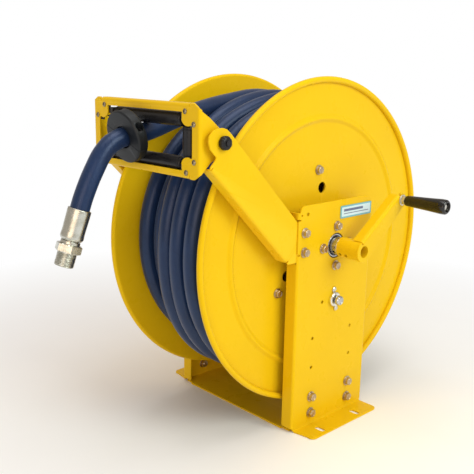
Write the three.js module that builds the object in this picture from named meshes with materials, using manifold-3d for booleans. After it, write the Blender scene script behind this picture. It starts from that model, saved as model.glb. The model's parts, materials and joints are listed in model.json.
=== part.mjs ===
// Hand-cranked hose reel on two pedestals, with a four-roller guide head.
// Millimetres, +Z up. X runs along the reel shaft with the crank on +X, the hose
// leaves towards -Y (the front), and the origin is on the floor below the middle of
// the shaft.
import * as THREE from "three";
import { mergeVertices } from "three/addons/utils/BufferGeometryUtils.js";
import Module from "manifold-3d";

// ---- driving dimensions -------------------------------------------------
const SHEET = 3; // pedestal, arm and head sheet
const GAP = 0.3; // clearance between neighbouring parts
const WIDE_GAP = 0.4;

const AXIS_Z = 350; // shaft height above the floor
const SHAFT = [0, AXIS_Z]; // shaft axis (y, z)

const DISC_IN = 118; // inner face of each flange disc, from the middle
const DISC_T = 2.5; // disc sheet
const DISC_R = 310; // disc outer radius
const HOLE_RING_R = 105; // ring of six locking holes
const DISC_BOLT_RING_R = 140; // three bolts that hold disc to drum
const DRUM_R = 160; // drum outer radius
const HOSE_R = 16.25; // hose outer radius (one inch bore)

const WEB_IN = 157.7; // pedestal web, inner face
const WEB_OUT = WEB_IN + SHEET;
const UPRIGHT_HALF = 107; // pedestal half width
const UPRIGHT_TOP = 436; // pedestal height
const FLANGE_IN = 135; // inner edge of the pedestal flanges

const ARM_OUT = WEB_IN - GAP; // guide arm plate, outer face
const ARM_IN = ARM_OUT - SHEET;
const PIVOT = [-287, 558]; // head tilt axis (y, z)

const LOCK_AXIS = [0, AXIS_Z - HOLE_RING_R]; // lock pin (y, z), at the lowest locking hole

// ---- solid helpers ------------------------------------------------------
const wasm = await Module();
wasm.setup();

const WELD = 1e-3; // vertices closer than this become one

function signedVolume(positions, triangles) {
  const corner = (index) => new THREE.Vector3().fromArray(positions, index * 3);
  let volume = 0;
  for (let i = 0; i < triangles.length; i += 3) {
    const [a, b, c] = [corner(triangles[i]), corner(triangles[i + 1]), corner(triangles[i + 2])];
    volume += a.dot(b.cross(c)) / 6;
  }
  return volume;
}
// A closed three.js geometry as a manifold solid with its faces outwards.
function solid(geometry) {
  const bare = geometry.index ? geometry.toNonIndexed() : geometry.clone();
  bare.deleteAttribute("normal");
  bare.deleteAttribute("uv");
  const welded = mergeVertices(bare, WELD);
  const positions = new Float32Array(welded.attributes.position.array);
  const triangles = new Uint32Array(welded.index.array);
  if (signedVolume(positions, triangles) < 0) triangles.reverse();
  return new wasm.Manifold(
    new wasm.Mesh({ numProp: 3, vertProperties: positions, triVerts: triangles }),
  );
}
function geometryOf(shape) {
  const mesh = shape.getMesh();
  const geometry = new THREE.BufferGeometry();
  const positions = new Float32Array(mesh.vertProperties);
  geometry.setAttribute("position", new THREE.BufferAttribute(positions, 3));
  geometry.setIndex(new THREE.BufferAttribute(new Uint32Array(mesh.triVerts), 1));
  geometry.computeVertexNormals();
  return geometry;
}
const join = (...shapes) => shapes.reduce((a, b) => a.add(b));
const cut = (shape, ...tools) => tools.reduce((a, b) => a.subtract(b), shape);
const transformed = (shape, matrix) => solid(geometryOf(shape).applyMatrix4(matrix));
const mirrored = (shape) => transformed(shape, new THREE.Matrix4().makeScale(-1, 1, 1));

// Outlines are lists of [u, v] points.
const radians = THREE.MathUtils.degToRad;
function arc(u, v, radius, fromDeg, toDeg, steps) {
  return Array.from({ length: steps + 1 }, (_, i) => {
    const angle = radians(fromDeg + ((toDeg - fromDeg) * i) / steps);
    return [u + radius * Math.cos(angle), v + radius * Math.sin(angle)];
  });
}
const circle = ([u, v], radius, facets) => arc(u, v, radius, 0, 360, facets).slice(0, -1);
const circles = (centres, radius, facets) => centres.map((at) => circle(at, radius, facets));
function slot(u, v, length, width) {
  const reach = (length - width) / 2;
  return [
    ...arc(u + reach, v, width / 2, -90, 90, 5),
    ...arc(u - reach, v, width / 2, 90, 270, 5),
  ];
}
const vectors = (outline) => outline.map(([u, v]) => new THREE.Vector2(u, v));
function closedPath(outline) {
  const path = new THREE.Path(vectors(outline));
  path.closePath();
  return path;
}

// Plates: an outline with holes, given thickness along the named axis.
function plateZ(outlineXY, z0, z1, holes = []) {
  const shape = new THREE.Shape(vectors(outlineXY));
  shape.holes.push(...holes.map(closedPath));
  const geometry = new THREE.ExtrudeGeometry(shape, { depth: z1 - z0, bevelEnabled: false });
  return solid(geometry.translate(0, 0, z0));
}
function turnedPlate(outline, w0, w1, holes, matrix) {
  const shape = new THREE.Shape(vectors(outline));
  shape.holes.push(...holes.map(closedPath));
  const geometry = new THREE.ExtrudeGeometry(shape, { depth: w1 - w0, bevelEnabled: false });
  return solid(geometry.translate(0, 0, w0).applyMatrix4(matrix));
}
const UVW_TO_YZX = new THREE.Matrix4().set(0, 0, 1, 0, 1, 0, 0, 0, 0, 1, 0, 0, 0, 0, 0, 1);
const UVW_TO_ZXY = new THREE.Matrix4().set(0, 1, 0, 0, 0, 0, 1, 0, 1, 0, 0, 0, 0, 0, 0, 1);
const plateX = (outlineYZ, x0, x1, holes = []) =>
  turnedPlate(outlineYZ, x0, x1, holes, UVW_TO_YZX);
const plateY = (outlineXZ, y0, y1) =>
  turnedPlate(outlineXZ.map(([x, z]) => [z, x]), y0, y1, [], UVW_TO_ZXY);

// Each pair of limits may be given in either order.
function box(x0, x1, y0, y1, z0, z1) {
  const size = [x1 - x0, y1 - y0, z1 - z0].map(Math.abs);
  const geometry = new THREE.BoxGeometry(...size);
  return solid(geometry.translate((x0 + x1) / 2, (y0 + y1) / 2, (z0 + z1) / 2));
}

// Faceted cylinder, or cone, between two points.
function rod(from, to, radius, facets, endRadius = radius) {
  const start = new THREE.Vector3(...from);
  const end = new THREE.Vector3(...to);
  const axis = end.clone().sub(start);
  const geometry = new THREE.CylinderGeometry(endRadius, radius, axis.length(), facets);
  geometry.applyQuaternion(
    new THREE.Quaternion().setFromUnitVectors(new THREE.Vector3(0, 1, 0), axis.normalize()),
  );
  const middle = start.add(end).multiplyScalar(0.5);
  return solid(geometry.translate(middle.x, middle.y, middle.z));
}
const rodX = (x0, x1, [y, z], ...rest) => rod([x0, y, z], [x1, y, z], ...rest);
const rodY = (y0, y1, [x, z], ...rest) => rod([x, y0, z], [x, y1, z], ...rest);
const rodZ = (z0, z1, [x, y], ...rest) => rod([x, y, z0], [x, y, z1], ...rest);
const drillX = (shape, places, x0, x1, radius, facets) =>
  cut(shape, ...places.map((at) => rodX(x0, x1, at, radius, facets)));

// Turned solids. A profile lists [radius, place along the axis].
function lathe(profile, facets) {
  const points = vectors(profile);
  const onAxis = points[0].x === 0 && points[points.length - 1].x === 0;
  if (!onAxis) points.push(points[0].clone());
  return new THREE.LatheGeometry(points, facets);
}
const turnX = (profile, [y, z], facets) =>
  solid(lathe(profile, facets).applyMatrix4(UVW_TO_ZXY).translate(0, y, z));
const turnY = (profile, [x, z], facets) => solid(lathe(profile, facets).translate(x, 0, z));
const tubeX = (inner, outer, x0, x1, at, facets) =>
  turnX([[inner, x0], [outer, x0], [outer, x1], [inner, x1]], at, facets);

// Round hose or wire along a smooth line.
function hose(points, radius, steps, facets = 11) {
  const line = points.map((point) => new THREE.Vector3(...point));
  const extrudePath = new THREE.CatmullRomCurve3(line, false, "centripetal");
  const section = new THREE.Shape(vectors(circle([0, 0], radius, facets)));
  section.closePath();
  return solid(
    new THREE.ExtrudeGeometry(section, { steps, extrudePath, bevelEnabled: false }),
  );
}

// (y, z) on a circle about the shaft, in degrees from +Y towards +Z.
const ringPoint = (radius, degrees) => [
  radius * Math.cos(radians(degrees)),
  AXIS_Z + radius * Math.sin(radians(degrees)),
];
const ringPoints = (radius, angles) => angles.map((degrees) => ringPoint(radius, degrees));

// ---- materials and scene graph ------------------------------------------
const paint = { color: 0xf0c414, roughness: 0.38, metalness: 0.0 };
const zinc = { color: 0xb9b7ae, roughness: 0.35, metalness: 0.9 };
const steel = { color: 0x9fa3a6, roughness: 0.4, metalness: 0.9 };
const darkGrey = { color: 0x55585a, roughness: 0.6, metalness: 0.5 };
const black = { color: 0x151516, roughness: 0.45, metalness: 0.0 };
const rubber = { color: 0x17181a, roughness: 0.7, metalness: 0.0 };
const blue = { color: 0x27466f, roughness: 0.5, metalness: 0.0 };
const brass = { color: 0xb08d4c, roughness: 0.35, metalness: 0.9 };
const paleBlue = { color: 0xbfd3de, roughness: 0.3, metalness: 0.2 };

const root = new THREE.Group();
function subgroup(parent) {
  const group = new THREE.Group();
  parent.add(group);
  return group;
}
function part(name, shape, look, group = root) {
  const mesh = new THREE.Mesh(geometryOf(shape), new THREE.MeshStandardMaterial(look));
  mesh.name = name;
  group.add(mesh);
}
// A crank-side piece and its mirror image on the inlet side.
function pair(name, shape, look, group = root) {
  part(name + "_crank_side", shape, look, group);
  part(name + "_inlet_side", mirrored(shape), look, group);
}

// ---- bolts through the crank-side web -----------------------------------
// Bolt places are (y, z).
const BEARING_BOLTS = ringPoints(38, [90, 180, 270, 0]);
const BASE_BOLTS = [[-55, 60.5], [55, 60.5], [-55, 27.3], [55, 27.3]];
const ARM_BOLTS = [[-90, 387], [-90, 351]];
const BOLT_HOLE_R = 4.4;
const BASE_HOLE_R = 4.9;

// Hex bolts with washers, heads outside the web and nuts against the inner face.
function hexBolts(name, places, innerX, shankR) {
  const flats = 13; // across flats
  const hexR = flats / Math.sqrt(3);
  const nutT = flats * 0.5;
  const washerEnd = WEB_OUT + 1.9;
  places.forEach((at, i) => {
    const bolt = join(
      rodX(WEB_OUT + GAP, washerEnd, at, flats * 0.72, 10),
      rodX(WEB_OUT + 1.5, washerEnd + flats * 0.42, at, hexR, 6),
      rodX(innerX - nutT - 3, WEB_OUT + 2, at, shankR, 10),
      rodX(innerX - GAP - nutT, innerX - GAP, at, hexR, 6),
    );
    part(`${name}_${i + 1}`, bolt, zinc);
  });
}

// ---- pedestals ----------------------------------------------------------
function uprightWeb() {
  const cornerR = 12;
  const cornerY = UPRIGHT_HALF - cornerR;
  const cornerZ = UPRIGHT_TOP - cornerR;
  const outline = [
    [-UPRIGHT_HALF, 0],
    [UPRIGHT_HALF, 0],
    ...arc(cornerY, cornerZ, cornerR, 0, 90, 3),
    ...arc(-cornerY, cornerZ, cornerR, 90, 180, 3),
  ];
  const smallHoles = [[56, 178], [-56, 178], [56, 120], [-56, 120], [-32, LOCK_AXIS[1]]];
  return plateX(outline, WEB_IN, WEB_OUT, [
    circle(SHAFT, 24, 18),
    ...circles([...BEARING_BOLTS, ...ARM_BOLTS], BOLT_HOLE_R, 8),
    ...circles(BASE_BOLTS, BASE_HOLE_R, 8),
    circle(LOCK_AXIS, 8.4, 10),
    circle([-82.4, 419.6], 3.2, 10),
    ...circles(smallHoles, 3.6, 10),
  ]);
}
function uprightFoot() {
  const outX = 206;
  const halfY = 101.5;
  const cornerR = 10;
  const outline = [
    [WEB_IN, -halfY],
    ...arc(outX - cornerR, -halfY + cornerR, cornerR, -90, 0, 3),
    ...arc(outX - cornerR, halfY - cornerR, cornerR, 0, 90, 3),
    [WEB_IN, halfY],
  ];
  return plateZ(outline, 0, SHEET, [slot(188, -55, 22, 11), slot(188, 51, 22, 11)]);
}
function upright() {
  const frontY = -UPRIGHT_HALF;
  const frontFlange = (z0, z1) => box(FLANGE_IN, WEB_OUT, frontY, frontY + SHEET, z0, z1);
  // the lower front flange is slit at its top, where the guide arm passes through
  const armSlit = box(ARM_IN - WIDE_GAP, WEB_IN, frontY - 1, frontY + SHEET + 1, 331, 350);
  return join(
    uprightWeb(),
    cut(frontFlange(0, 345), armSlit),
    frontFlange(412, UPRIGHT_TOP - 10),
    box(FLANGE_IN, WEB_OUT, UPRIGHT_HALF - SHEET, UPRIGHT_HALF, 0, UPRIGHT_TOP - 12),
    uprightFoot(),
  );
}
pair("upright", upright(), paint);

// ---- floor tray ---------------------------------------------------------
// Lies between the pedestals, its ends turned up and bolted inside the webs.
const TRAY_END = WEB_IN - WIDE_GAP;
function baseTray() {
  const narrowX = FLANGE_IN - 1.5; // full depth runs between the pedestal flanges
  const endY = UPRIGHT_HALF - 4; // the ends reach between front and rear flanges
  const endOutline = [[-90, 0], [90, 0], [90, 70], [85, 75], [-85, 75], [-90, 70]];
  const bolts = circles(BASE_BOLTS, BASE_HOLE_R, 8);
  const end = plateX(endOutline, TRAY_END - SHEET, TRAY_END, bolts);
  return join(
    box(-narrowX, narrowX, -UPRIGHT_HALF, UPRIGHT_HALF, 0, SHEET),
    box(-TRAY_END, TRAY_END, -endY, endY, 0, SHEET),
    end,
    mirrored(end),
  );
}
part("base_tray", baseTray(), paint);
hexBolts("base_bolt", BASE_BOLTS, TRAY_END - SHEET, 4.5);

// ---- guide arms ---------------------------------------------------------
// Outlines are (y, z).
const ARM_OUTLINE = [
  [-62, 332], [-62, 400], [-98, 400], [-107, 408], [-272, 573], [-279, 578.5],
  [-288, 581], [-298, 580.3], [-308, 577], [-316, 569], [-317, 560], [-313.5, 549],
  [-306, 541], [-300, 536], [-303, 531], [-312, 521.5], [-313, 517.5],
  [-135, 339.5], [-128, 334],
];
const ARM_FLANGE_OUTLINE = [[-311, 515.6], [-133, 337.6], [-130.9, 339.7], [-308.9, 517.7]];
function guideArm() {
  const holes = [circle(PIVOT, 5.5, 12), ...circles(ARM_BOLTS, BOLT_HOLE_R, 10)];
  const web = plateX(ARM_OUTLINE, ARM_IN, ARM_OUT, holes);
  // stiffening flange along the lower edge, turned towards the reel
  const flange = plateX(ARM_FLANGE_OUTLINE, 133, ARM_OUT);
  return join(web, flange);
}
pair("guide_arm", guideArm(), paint);
hexBolts("arm_bolt", ARM_BOLTS, ARM_IN, 4);

// ---- bearings -----------------------------------------------------------
const BEARING_FACE = 149.3; // inner face of the bearing flange
function bearingHousing() {
  const bore = 22.4;
  const flange = tubeX(bore, 49, BEARING_FACE, WEB_IN - WIDE_GAP, SHAFT, 22);
  const boss = tubeX(bore, 29.4, 135, 150, SHAFT, 22);
  return drillX(join(flange, boss), BEARING_BOLTS, 140, 165, BOLT_HOLE_R, 8);
}
pair("bearing_housing", bearingHousing(), darkGrey);
hexBolts("bearing_bolt", BEARING_BOLTS, BEARING_FACE, 4);

const reel = subgroup(root); // everything that turns with the shaft
const CRANK_RING_PROFILE = [
  [13, 134], [22, 134], [22, 161.5], [17.6, 161.5], [17.6, 175], [13, 175],
];
part("bearing_ring_crank_side", turnX(CRANK_RING_PROFILE, SHAFT, 18), steel, reel);
part("bearing_ring_inlet_side", tubeX(17.4, 22, -160, -134, SHAFT, 18), steel, reel);

// ---- flange discs -------------------------------------------------------
const LOCK_HOLES = ringPoints(HOLE_RING_R, [30, 90, 150, 210, 270, 330]);
const DISC_BOLTS = ringPoints(DISC_BOLT_RING_R, [95, 215, 335]);
function disc() {
  const outer = DISC_IN + DISC_T;
  const beadR = 234; // stiffening bead, raised on the outer face
  const beadH = 4;
  const profile = [
    [18, DISC_IN],
    [18, outer],
    [beadR - 8.5, outer],
    [beadR - 4.5, outer + beadH],
    [beadR + 4.5, outer + beadH],
    [beadR + 8.5, outer],
    // rolled rim
    [299, outer],
    [301, 127.2],
    [305, 129.3],
    [308.8, 127.4],
    [DISC_R, 123.8],
    [308.8, 119.8],
    [305, DISC_IN],
  ];
  const locked = drillX(turnX(profile, SHAFT, 40), LOCK_HOLES, DISC_IN - 5, outer + 5, 10.5, 14);
  return drillX(locked, DISC_BOLTS, DISC_IN - 5, outer + 5, BOLT_HOLE_R, 10);
}
pair("disc", disc(), paint, reel);

// ---- drum ---------------------------------------------------------------
const DRUM_HALF = DISC_IN - GAP;
const DRUM_WALL = 2.5;
const OUTLET = [-60, 0]; // hose outlet (x, y), square to the shaft

function drumBarrel() {
  const shell = tubeX(DRUM_R - DRUM_WALL, DRUM_R, -DRUM_HALF, DRUM_HALF, SHAFT, 32);
  // opening where the hose is led in from the outlet
  return cut(shell, rodZ(AXIS_Z + 120, AXIS_Z + 190, OUTLET, 20, 14));
}
function drumEndPlate() {
  const rimR = DRUM_R - DRUM_WALL - WIDE_GAP;
  const blank = tubeX(17.6, rimR, DRUM_HALF - SHEET, DRUM_HALF, SHAFT, 32);
  const locked = drillX(blank, LOCK_HOLES, DRUM_HALF - 8, DRUM_HALF + 5, 13, 14);
  return drillX(locked, DISC_BOLTS, DRUM_HALF - 8, DRUM_HALF + 5, BOLT_HOLE_R, 10);
}
part("drum_barrel", drumBarrel(), paint, reel);
pair("drum_end_plate", drumEndPlate(), paint, reel);

// ---- shaft and outlet ---------------------------------------------------
const SHAFT_PROFILE = [
  [0, -190], [17, -190], [17, 128], [12.6, 130], [12.6, 160.5], [10.7, 162], [10.7, 207], [0, 207],
];
// Solid towards the crank, bored from the inlet end as far as the outlet branch.
function reelShaft() {
  const boreR = 11.5;
  return cut(
    join(turnX(SHAFT_PROFILE, SHAFT, 18), rodZ(AXIS_Z, AXIS_Z + 40, OUTLET, 16, 12)),
    rodX(-195, -50, SHAFT, boreR, 12),
    rodZ(AXIS_Z + 2, AXIS_Z + 45, OUTLET, boreR, 12),
  );
}
part("reel_shaft", reelShaft(), steel, reel);

// Riser from the hollow shaft to the hose tail inside the drum.
function outletRiser() {
  return cut(
    join(
      rodZ(AXIS_Z + 40 + GAP, AXIS_Z + 62, OUTLET, 24, 6),
      rodZ(AXIS_Z + 60, AXIS_Z + 156, OUTLET, 15.8, 12),
    ),
    rodZ(AXIS_Z + 30, AXIS_Z + 170, OUTLET, 11, 12),
  );
}
part("outlet_riser", outletRiser(), brass, reel);

// ---- wound hose ---------------------------------------------------------
// Outer layer of turns: place along the drum of each turn's centre line. The first
// turn lies further out than the rest.
const TURN_PLACES = [-98.6, -65.7, -32.8, 0.1, 33, 65.9, 98.7];
const FIRST_TURN_R = 244;
const TURN_R = 232.3;
function hoseCoil() {
  const innerR = DRUM_R + 1.5;
  const sideR = 232;
  const sideX = DISC_IN - 1;
  const ridges = TURN_PLACES.flatMap((x, i) =>
    [155, 115, 65, 25].map((degrees) => [
      (i ? TURN_R : FIRST_TURN_R) + HOSE_R * Math.sin(radians(degrees)),
      x + HOSE_R * Math.cos(radians(degrees)),
    ]),
  );
  const profile = [[innerR, -sideX], [sideR, -sideX], ...ridges, [sideR, sideX], [innerR, sideX]];
  return turnX(profile, SHAFT, 58);
}
part("hose_coil", hoseCoil(), blue, reel);

// ---- crank --------------------------------------------------------------
const HUB_END = 226.7; // outer face of the crank arm
const CRANK_SHEET = 4;
const HUB_R = 19;
const HUB_BORE_R = 11;
const GRIP_AXIS = [109, 434]; // (y, z)
const GRIP_END = 323;

function crankHub() {
  // two radial holes, their angle measured from straight down towards the front
  const angle = 0.977;
  const [y, z] = [-25 * Math.sin(angle), AXIS_Z - 25 * Math.cos(angle)];
  return cut(
    tubeX(HUB_BORE_R, HUB_R, 175.6, HUB_END - CRANK_SHEET - GAP, SHAFT, 22),
    ...[183.5, 197].map((x) => rod([x, ...SHAFT], [x, y, z], 3, 10)),
  );
}
part("crank_hub", crankHub(), paint, reel);

function crankArm() {
  const rise = GRIP_AXIS[1] - AXIS_Z;
  const length = Math.hypot(GRIP_AXIS[0], rise);
  const angle = Math.atan2(rise, GRIP_AXIS[0]);
  // distances along the arm from the shaft and across it, to (y, z)
  const onArm = ([along, across]) => [
    along * Math.cos(angle) - across * Math.sin(angle),
    AXIS_Z + along * Math.sin(angle) + across * Math.cos(angle),
  ];
  const outline = [...arc(length, 0, 14, -84, 86, 8), ...arc(0, 0, 20, 96, 264, 14)];
  const lipOutline = [
    [5, 19.9], [length - 2, 14.1], [length - 2, 10.9], [12.4, 16.2], [8.4, 18.2], [5, 19.4],
  ];
  const holes = [circle(SHAFT, HUB_BORE_R, 18), circle(GRIP_AXIS, 5.5, 10)];
  return join(
    plateX(outline.map(onArm), HUB_END - CRANK_SHEET, HUB_END, holes),
    plateX(lipOutline.map(onArm), HUB_END - 22.5, HUB_END),
  );
}
part("crank_arm", crankArm(), paint, reel);

function gripSpindle() {
  const tip = GRIP_END - 3;
  return join(
    rodX(HUB_END - 9, tip, GRIP_AXIS, 5, 8),
    rodX(HUB_END - 9.5, HUB_END - CRANK_SHEET - GAP, GRIP_AXIS, 9, 6), // inner hex
    rodX(HUB_END + GAP, HUB_END + 2.3, GRIP_AXIS, 10.5, 12), // washer
    rodX(HUB_END + 1.8, HUB_END + 9, GRIP_AXIS, 8.6, 6), // outer hex
    rodX(GRIP_END - 7, tip, GRIP_AXIS, 7, 10), // end head
  );
}
part("grip_spindle", gripSpindle(), zinc, reel);

const GRIP_PROFILE = [
  [5.4, HUB_END + 9.6],
  [8.8, HUB_END + 9.6],
  [10.2, HUB_END + 11.5],
  [10.6, HUB_END + 30],
  [12.2, HUB_END + 60],
  [14, GRIP_END - 8],
  [13.4, GRIP_END - 2.5],
  [10.8, GRIP_END],
  [8, GRIP_END],
  [8, GRIP_END - 8],
  [5.4, GRIP_END - 8],
];
part("crank_grip", turnX(GRIP_PROFILE, GRIP_AXIS, 16), black, subgroup(reel));

// ---- reel lock: sprung pin through the crank-side pedestal ---------------
// The pin is drawn ending just outside the disc's rim, so the reel can turn.
const LOCK_HOUSING_PROFILE = [
  [5.4, 141], [8, 141], [8, 160.9], [14.3, 160.9], [14.3, 166.6], [12.8, 168],
  [4.5, 168], [4.5, 166], [6.7, 166], [6.7, 143], [5.4, 143],
];
const LOCK_KNOB_PROFILE = [
  [4.3, 170], [8.6, 170], [9.8, 171.5], [9.8, 178.6], [8.4, 180],
  [0, 180], [0, 178.4], [4.3, 178.4],
];
function lockSpring() {
  const turns = 4;
  const pointCount = turns * 8;
  const [startX, length, coilR, wireR] = [159.4, 6, 5.5, 0.5];
  const points = [];
  for (let i = 0; i <= pointCount; i++) {
    const share = i / pointCount;
    const angle = share * turns * 2 * Math.PI;
    points.push([
      startX + share * length,
      LOCK_AXIS[0] + coilR * Math.cos(angle),
      LOCK_AXIS[1] + coilR * Math.sin(angle),
    ]);
  }
  return hose(points, wireR, 44, 5);
}
function lockPin() {
  const tipR = 4.9;
  return join(
    rodX(135.5, 131, LOCK_AXIS, tipR, 10, 3.6), // tapered end
    rodX(135.3, 146.2, LOCK_AXIS, tipR, 10),
    rodX(145, 146.5, LOCK_AXIS, 6.2, 10), // collar
    rodX(146, 178, LOCK_AXIS, 3.9, 10),
  );
}
part("lock_housing", turnX(LOCK_HOUSING_PROFILE, LOCK_AXIS, 18), zinc);
part("lock_spring", lockSpring(), steel);
const lock = subgroup(root); // the sliding parts
part("lock_pin", lockPin(), zinc, lock);
part("lock_knob", turnX(LOCK_KNOB_PROFILE, LOCK_AXIS, 18), black, lock);

// ---- roller head: frame --------------------------------------------------
const HEAD_FRONT = -326; // front face
const HEAD_HALF = 146; // half width
const HEAD_TOP = 618;
const HEAD_BOTTOM = 500;
const HEAD_CHAMFER_X = 14;
const HEAD_CHAMFER_Z = 10;
const HEAD_SCREW_R = 2.6;

// The top and bottom corners of the head: up is +1 or -1, edgeZ is the outer edge of the
// roller bracket, and screws are (x, z) on the crank side.
const TOP_CORNER = { up: 1, rollerZ: 591.5, edgeZ: 612, screws: [[112, 607], [134.5, 586]] };
const BOTTOM_CORNER = { up: -1, rollerZ: 520, edgeZ: 504, screws: [[134.5, 528], [112, 509]] };

const head = subgroup(root); // everything that tilts about the pivot

// Window outline (x, z), with a rounded tab left in each corner for the roller brackets.
function windowOutline() {
  const [halfX, topZ, bottomZ] = [128, 604, 512];
  const [tabX, tabZ, tabR] = [27, 21, 8];
  return [[1, 1], [-1, 1], [-1, -1], [1, -1]].flatMap(([sideX, sideZ]) => {
    const x = sideX * halfX;
    const z = sideZ > 0 ? topZ : bottomZ;
    const tab = [
      [x, z - sideZ * tabZ],
      ...arc(0, 0, tabR, 0, 90, 4).map(([inZ, inX]) => [
        x - sideX * (tabX - tabR + inX),
        z - sideZ * (tabZ - tabR + inZ),
      ]),
      [x - sideX * tabX, z],
    ];
    return sideX === sideZ ? tab : tab.reverse();
  });
}
function headEar() {
  const outline = [
    [HEAD_FRONT, 509.5],
    [-303, 526],
    ...arc(...PIVOT, 22, 295.5, 444, 9),
    [-304, 595.6],
    [-320.3, 606.1],
    [HEAD_FRONT, 608.5],
  ];
  return plateX(outline, HEAD_HALF - SHEET, HEAD_HALF, [circle(PIVOT, 5.5, 10)]);
}
function headFrame() {
  const flatX = HEAD_HALF - HEAD_CHAMFER_X;
  const lowZ = HEAD_BOTTOM + HEAD_CHAMFER_Z;
  const highZ = HEAD_TOP - HEAD_CHAMFER_Z;
  const outline = [
    [-HEAD_HALF, lowZ], [-flatX, HEAD_BOTTOM], [flatX, HEAD_BOTTOM], [HEAD_HALF, lowZ],
    [HEAD_HALF, highZ], [flatX, HEAD_TOP], [-flatX, HEAD_TOP], [-HEAD_HALF, highZ],
  ];
  const lipX = HEAD_HALF - 26;
  const lip = (z0, z1) => box(-lipX, lipX, HEAD_FRONT, HEAD_FRONT + 12, z0, z1);
  const ear = headEar();
  const screwHoles = [...TOP_CORNER.screws, ...BOTTOM_CORNER.screws].flatMap(([x, z]) =>
    [-x, x].map((at) => rodY(HEAD_FRONT - 5, HEAD_FRONT + 5, [at, z], HEAD_SCREW_R, 8)),
  );
  return cut(
    join(
      plateY(outline, HEAD_FRONT, HEAD_FRONT + SHEET),
      ear,
      mirrored(ear),
      lip(HEAD_TOP - SHEET, HEAD_TOP),
      lip(HEAD_BOTTOM, HEAD_BOTTOM + SHEET),
    ),
    plateY(windowOutline(), HEAD_FRONT - 5, HEAD_FRONT + 8),
    ...screwHoles,
  );
}
part("head_frame", headFrame(), paint, head);

// ---- roller head: brackets and rollers ------------------------------------
const ROLLER_R = 12;
const ROLLER_END_R = 10.5;
const ROLLER_BORE_R = 3.4;
const ROLLER_Y = -310;
const ROLLER_SIDE_X = 105;
const ROLLER_MID_Z = (TOP_CORNER.rollerZ + BOTTOM_CORNER.rollerZ) / 2;
const AXLE_R = 3;

// Crank-side bracket, carrying one end of a long roller and one end of a short one.
function rollerBracket({ up, rollerZ, edgeZ, screws }) {
  const sheet = 2.5;
  const innerX = 94.5;
  const outerX = 139;
  const frontY = HEAD_FRONT + SHEET + GAP;
  const earY = -300;
  const earZ = ROLLER_MID_Z + up * 28; // ear that holds the short roller
  const base = (x, z) => box(x, outerX, frontY, frontY + sheet, z, edgeZ);
  return cut(
    join(
      base(innerX, earZ),
      base(120, ROLLER_MID_Z + up * 22),
      box(innerX, innerX + sheet, frontY, earY, earZ, rollerZ + up * 9),
      box(innerX, 116, frontY, earY, earZ, earZ + up * sheet),
    ),
    rodX(88, 104, [ROLLER_Y, rollerZ], ROLLER_BORE_R, 10),
    rodZ(earZ - 6, earZ + 6, [ROLLER_SIDE_X, ROLLER_Y], ROLLER_BORE_R, 10),
    ...screws.map((at) => rodY(frontY - 2, frontY + 6, at, HEAD_SCREW_R, 8)),
  );
}
pair("roller_bracket_top", rollerBracket(TOP_CORNER), zinc, head);
pair("roller_bracket_bottom", rollerBracket(BOTTOM_CORNER), zinc, head);

const longAxle = (z) => rodX(-101, 101, [ROLLER_Y, z], AXLE_R, 10);
const shortAxle = (x) => rodZ(ROLLER_MID_Z - 33, ROLLER_MID_Z + 33, [x, ROLLER_Y], AXLE_R, 10);
part("roller_axle_top", longAxle(TOP_CORNER.rollerZ), steel, head);
part("roller_axle_bottom", longAxle(BOTTOM_CORNER.rollerZ), steel, head);
part("roller_axle_crank_side", shortAxle(ROLLER_SIDE_X), steel, head);
part("roller_axle_inlet_side", shortAxle(-ROLLER_SIDE_X), steel, head);

const LONG_ROLLER_PROFILE = [
  [ROLLER_BORE_R, -92],
  [ROLLER_END_R, -92],
  [ROLLER_R, -90.5],
  [ROLLER_R, 90.5],
  [ROLLER_END_R, 92],
  [ROLLER_BORE_R, 92],
];
const longRoller = (z) => turnX(LONG_ROLLER_PROFILE, [ROLLER_Y, z], 14);
function shortRoller(x) {
  const upright = (half, radius, facets) =>
    rodZ(ROLLER_MID_Z - half, ROLLER_MID_Z + half, [x, ROLLER_Y], radius, facets);
  return cut(
    join(upright(24, ROLLER_R, 14), upright(25.5, ROLLER_END_R, 14)),
    upright(40, ROLLER_BORE_R, 8),
  );
}
// each roller spins in its own group
part("roller_top", longRoller(TOP_CORNER.rollerZ), black, subgroup(head));
part("roller_bottom", longRoller(BOTTOM_CORNER.rollerZ), black, subgroup(head));
part("roller_crank_side", shortRoller(ROLLER_SIDE_X), black, subgroup(head));
part("roller_inlet_side", shortRoller(-ROLLER_SIDE_X), black, subgroup(head));

// ---- roller head: pivot ---------------------------------------------------
// Hand knob that clamps the head at its tilt, with its stud and hex.
function headKnob() {
  const earIn = HEAD_HALF - SHEET;
  const profile = [
    [0, ARM_OUT + WIDE_GAP],
    [10, ARM_OUT + WIDE_GAP],
    [12.5, ARM_OUT + 3],
    [12.5, ARM_OUT + 9.5],
    [10.5, ARM_OUT + 12],
    [0, ARM_OUT + 12],
  ];
  return join(
    rodX(earIn - 9, ARM_OUT + 6, PIVOT, 4, 8),
    rodX(earIn - 7, earIn - WIDE_GAP, PIVOT, 7.5, 6),
    turnX(profile, PIVOT, 14),
  );
}
pair("head_knob", headKnob(), black, head);
// washer between ear and arm
const pivotWasher = tubeX(5, 15, HEAD_HALF + GAP, ARM_IN - GAP, PIVOT, 14);
pair("pivot_washer", pivotWasher, rubber, head);

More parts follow.
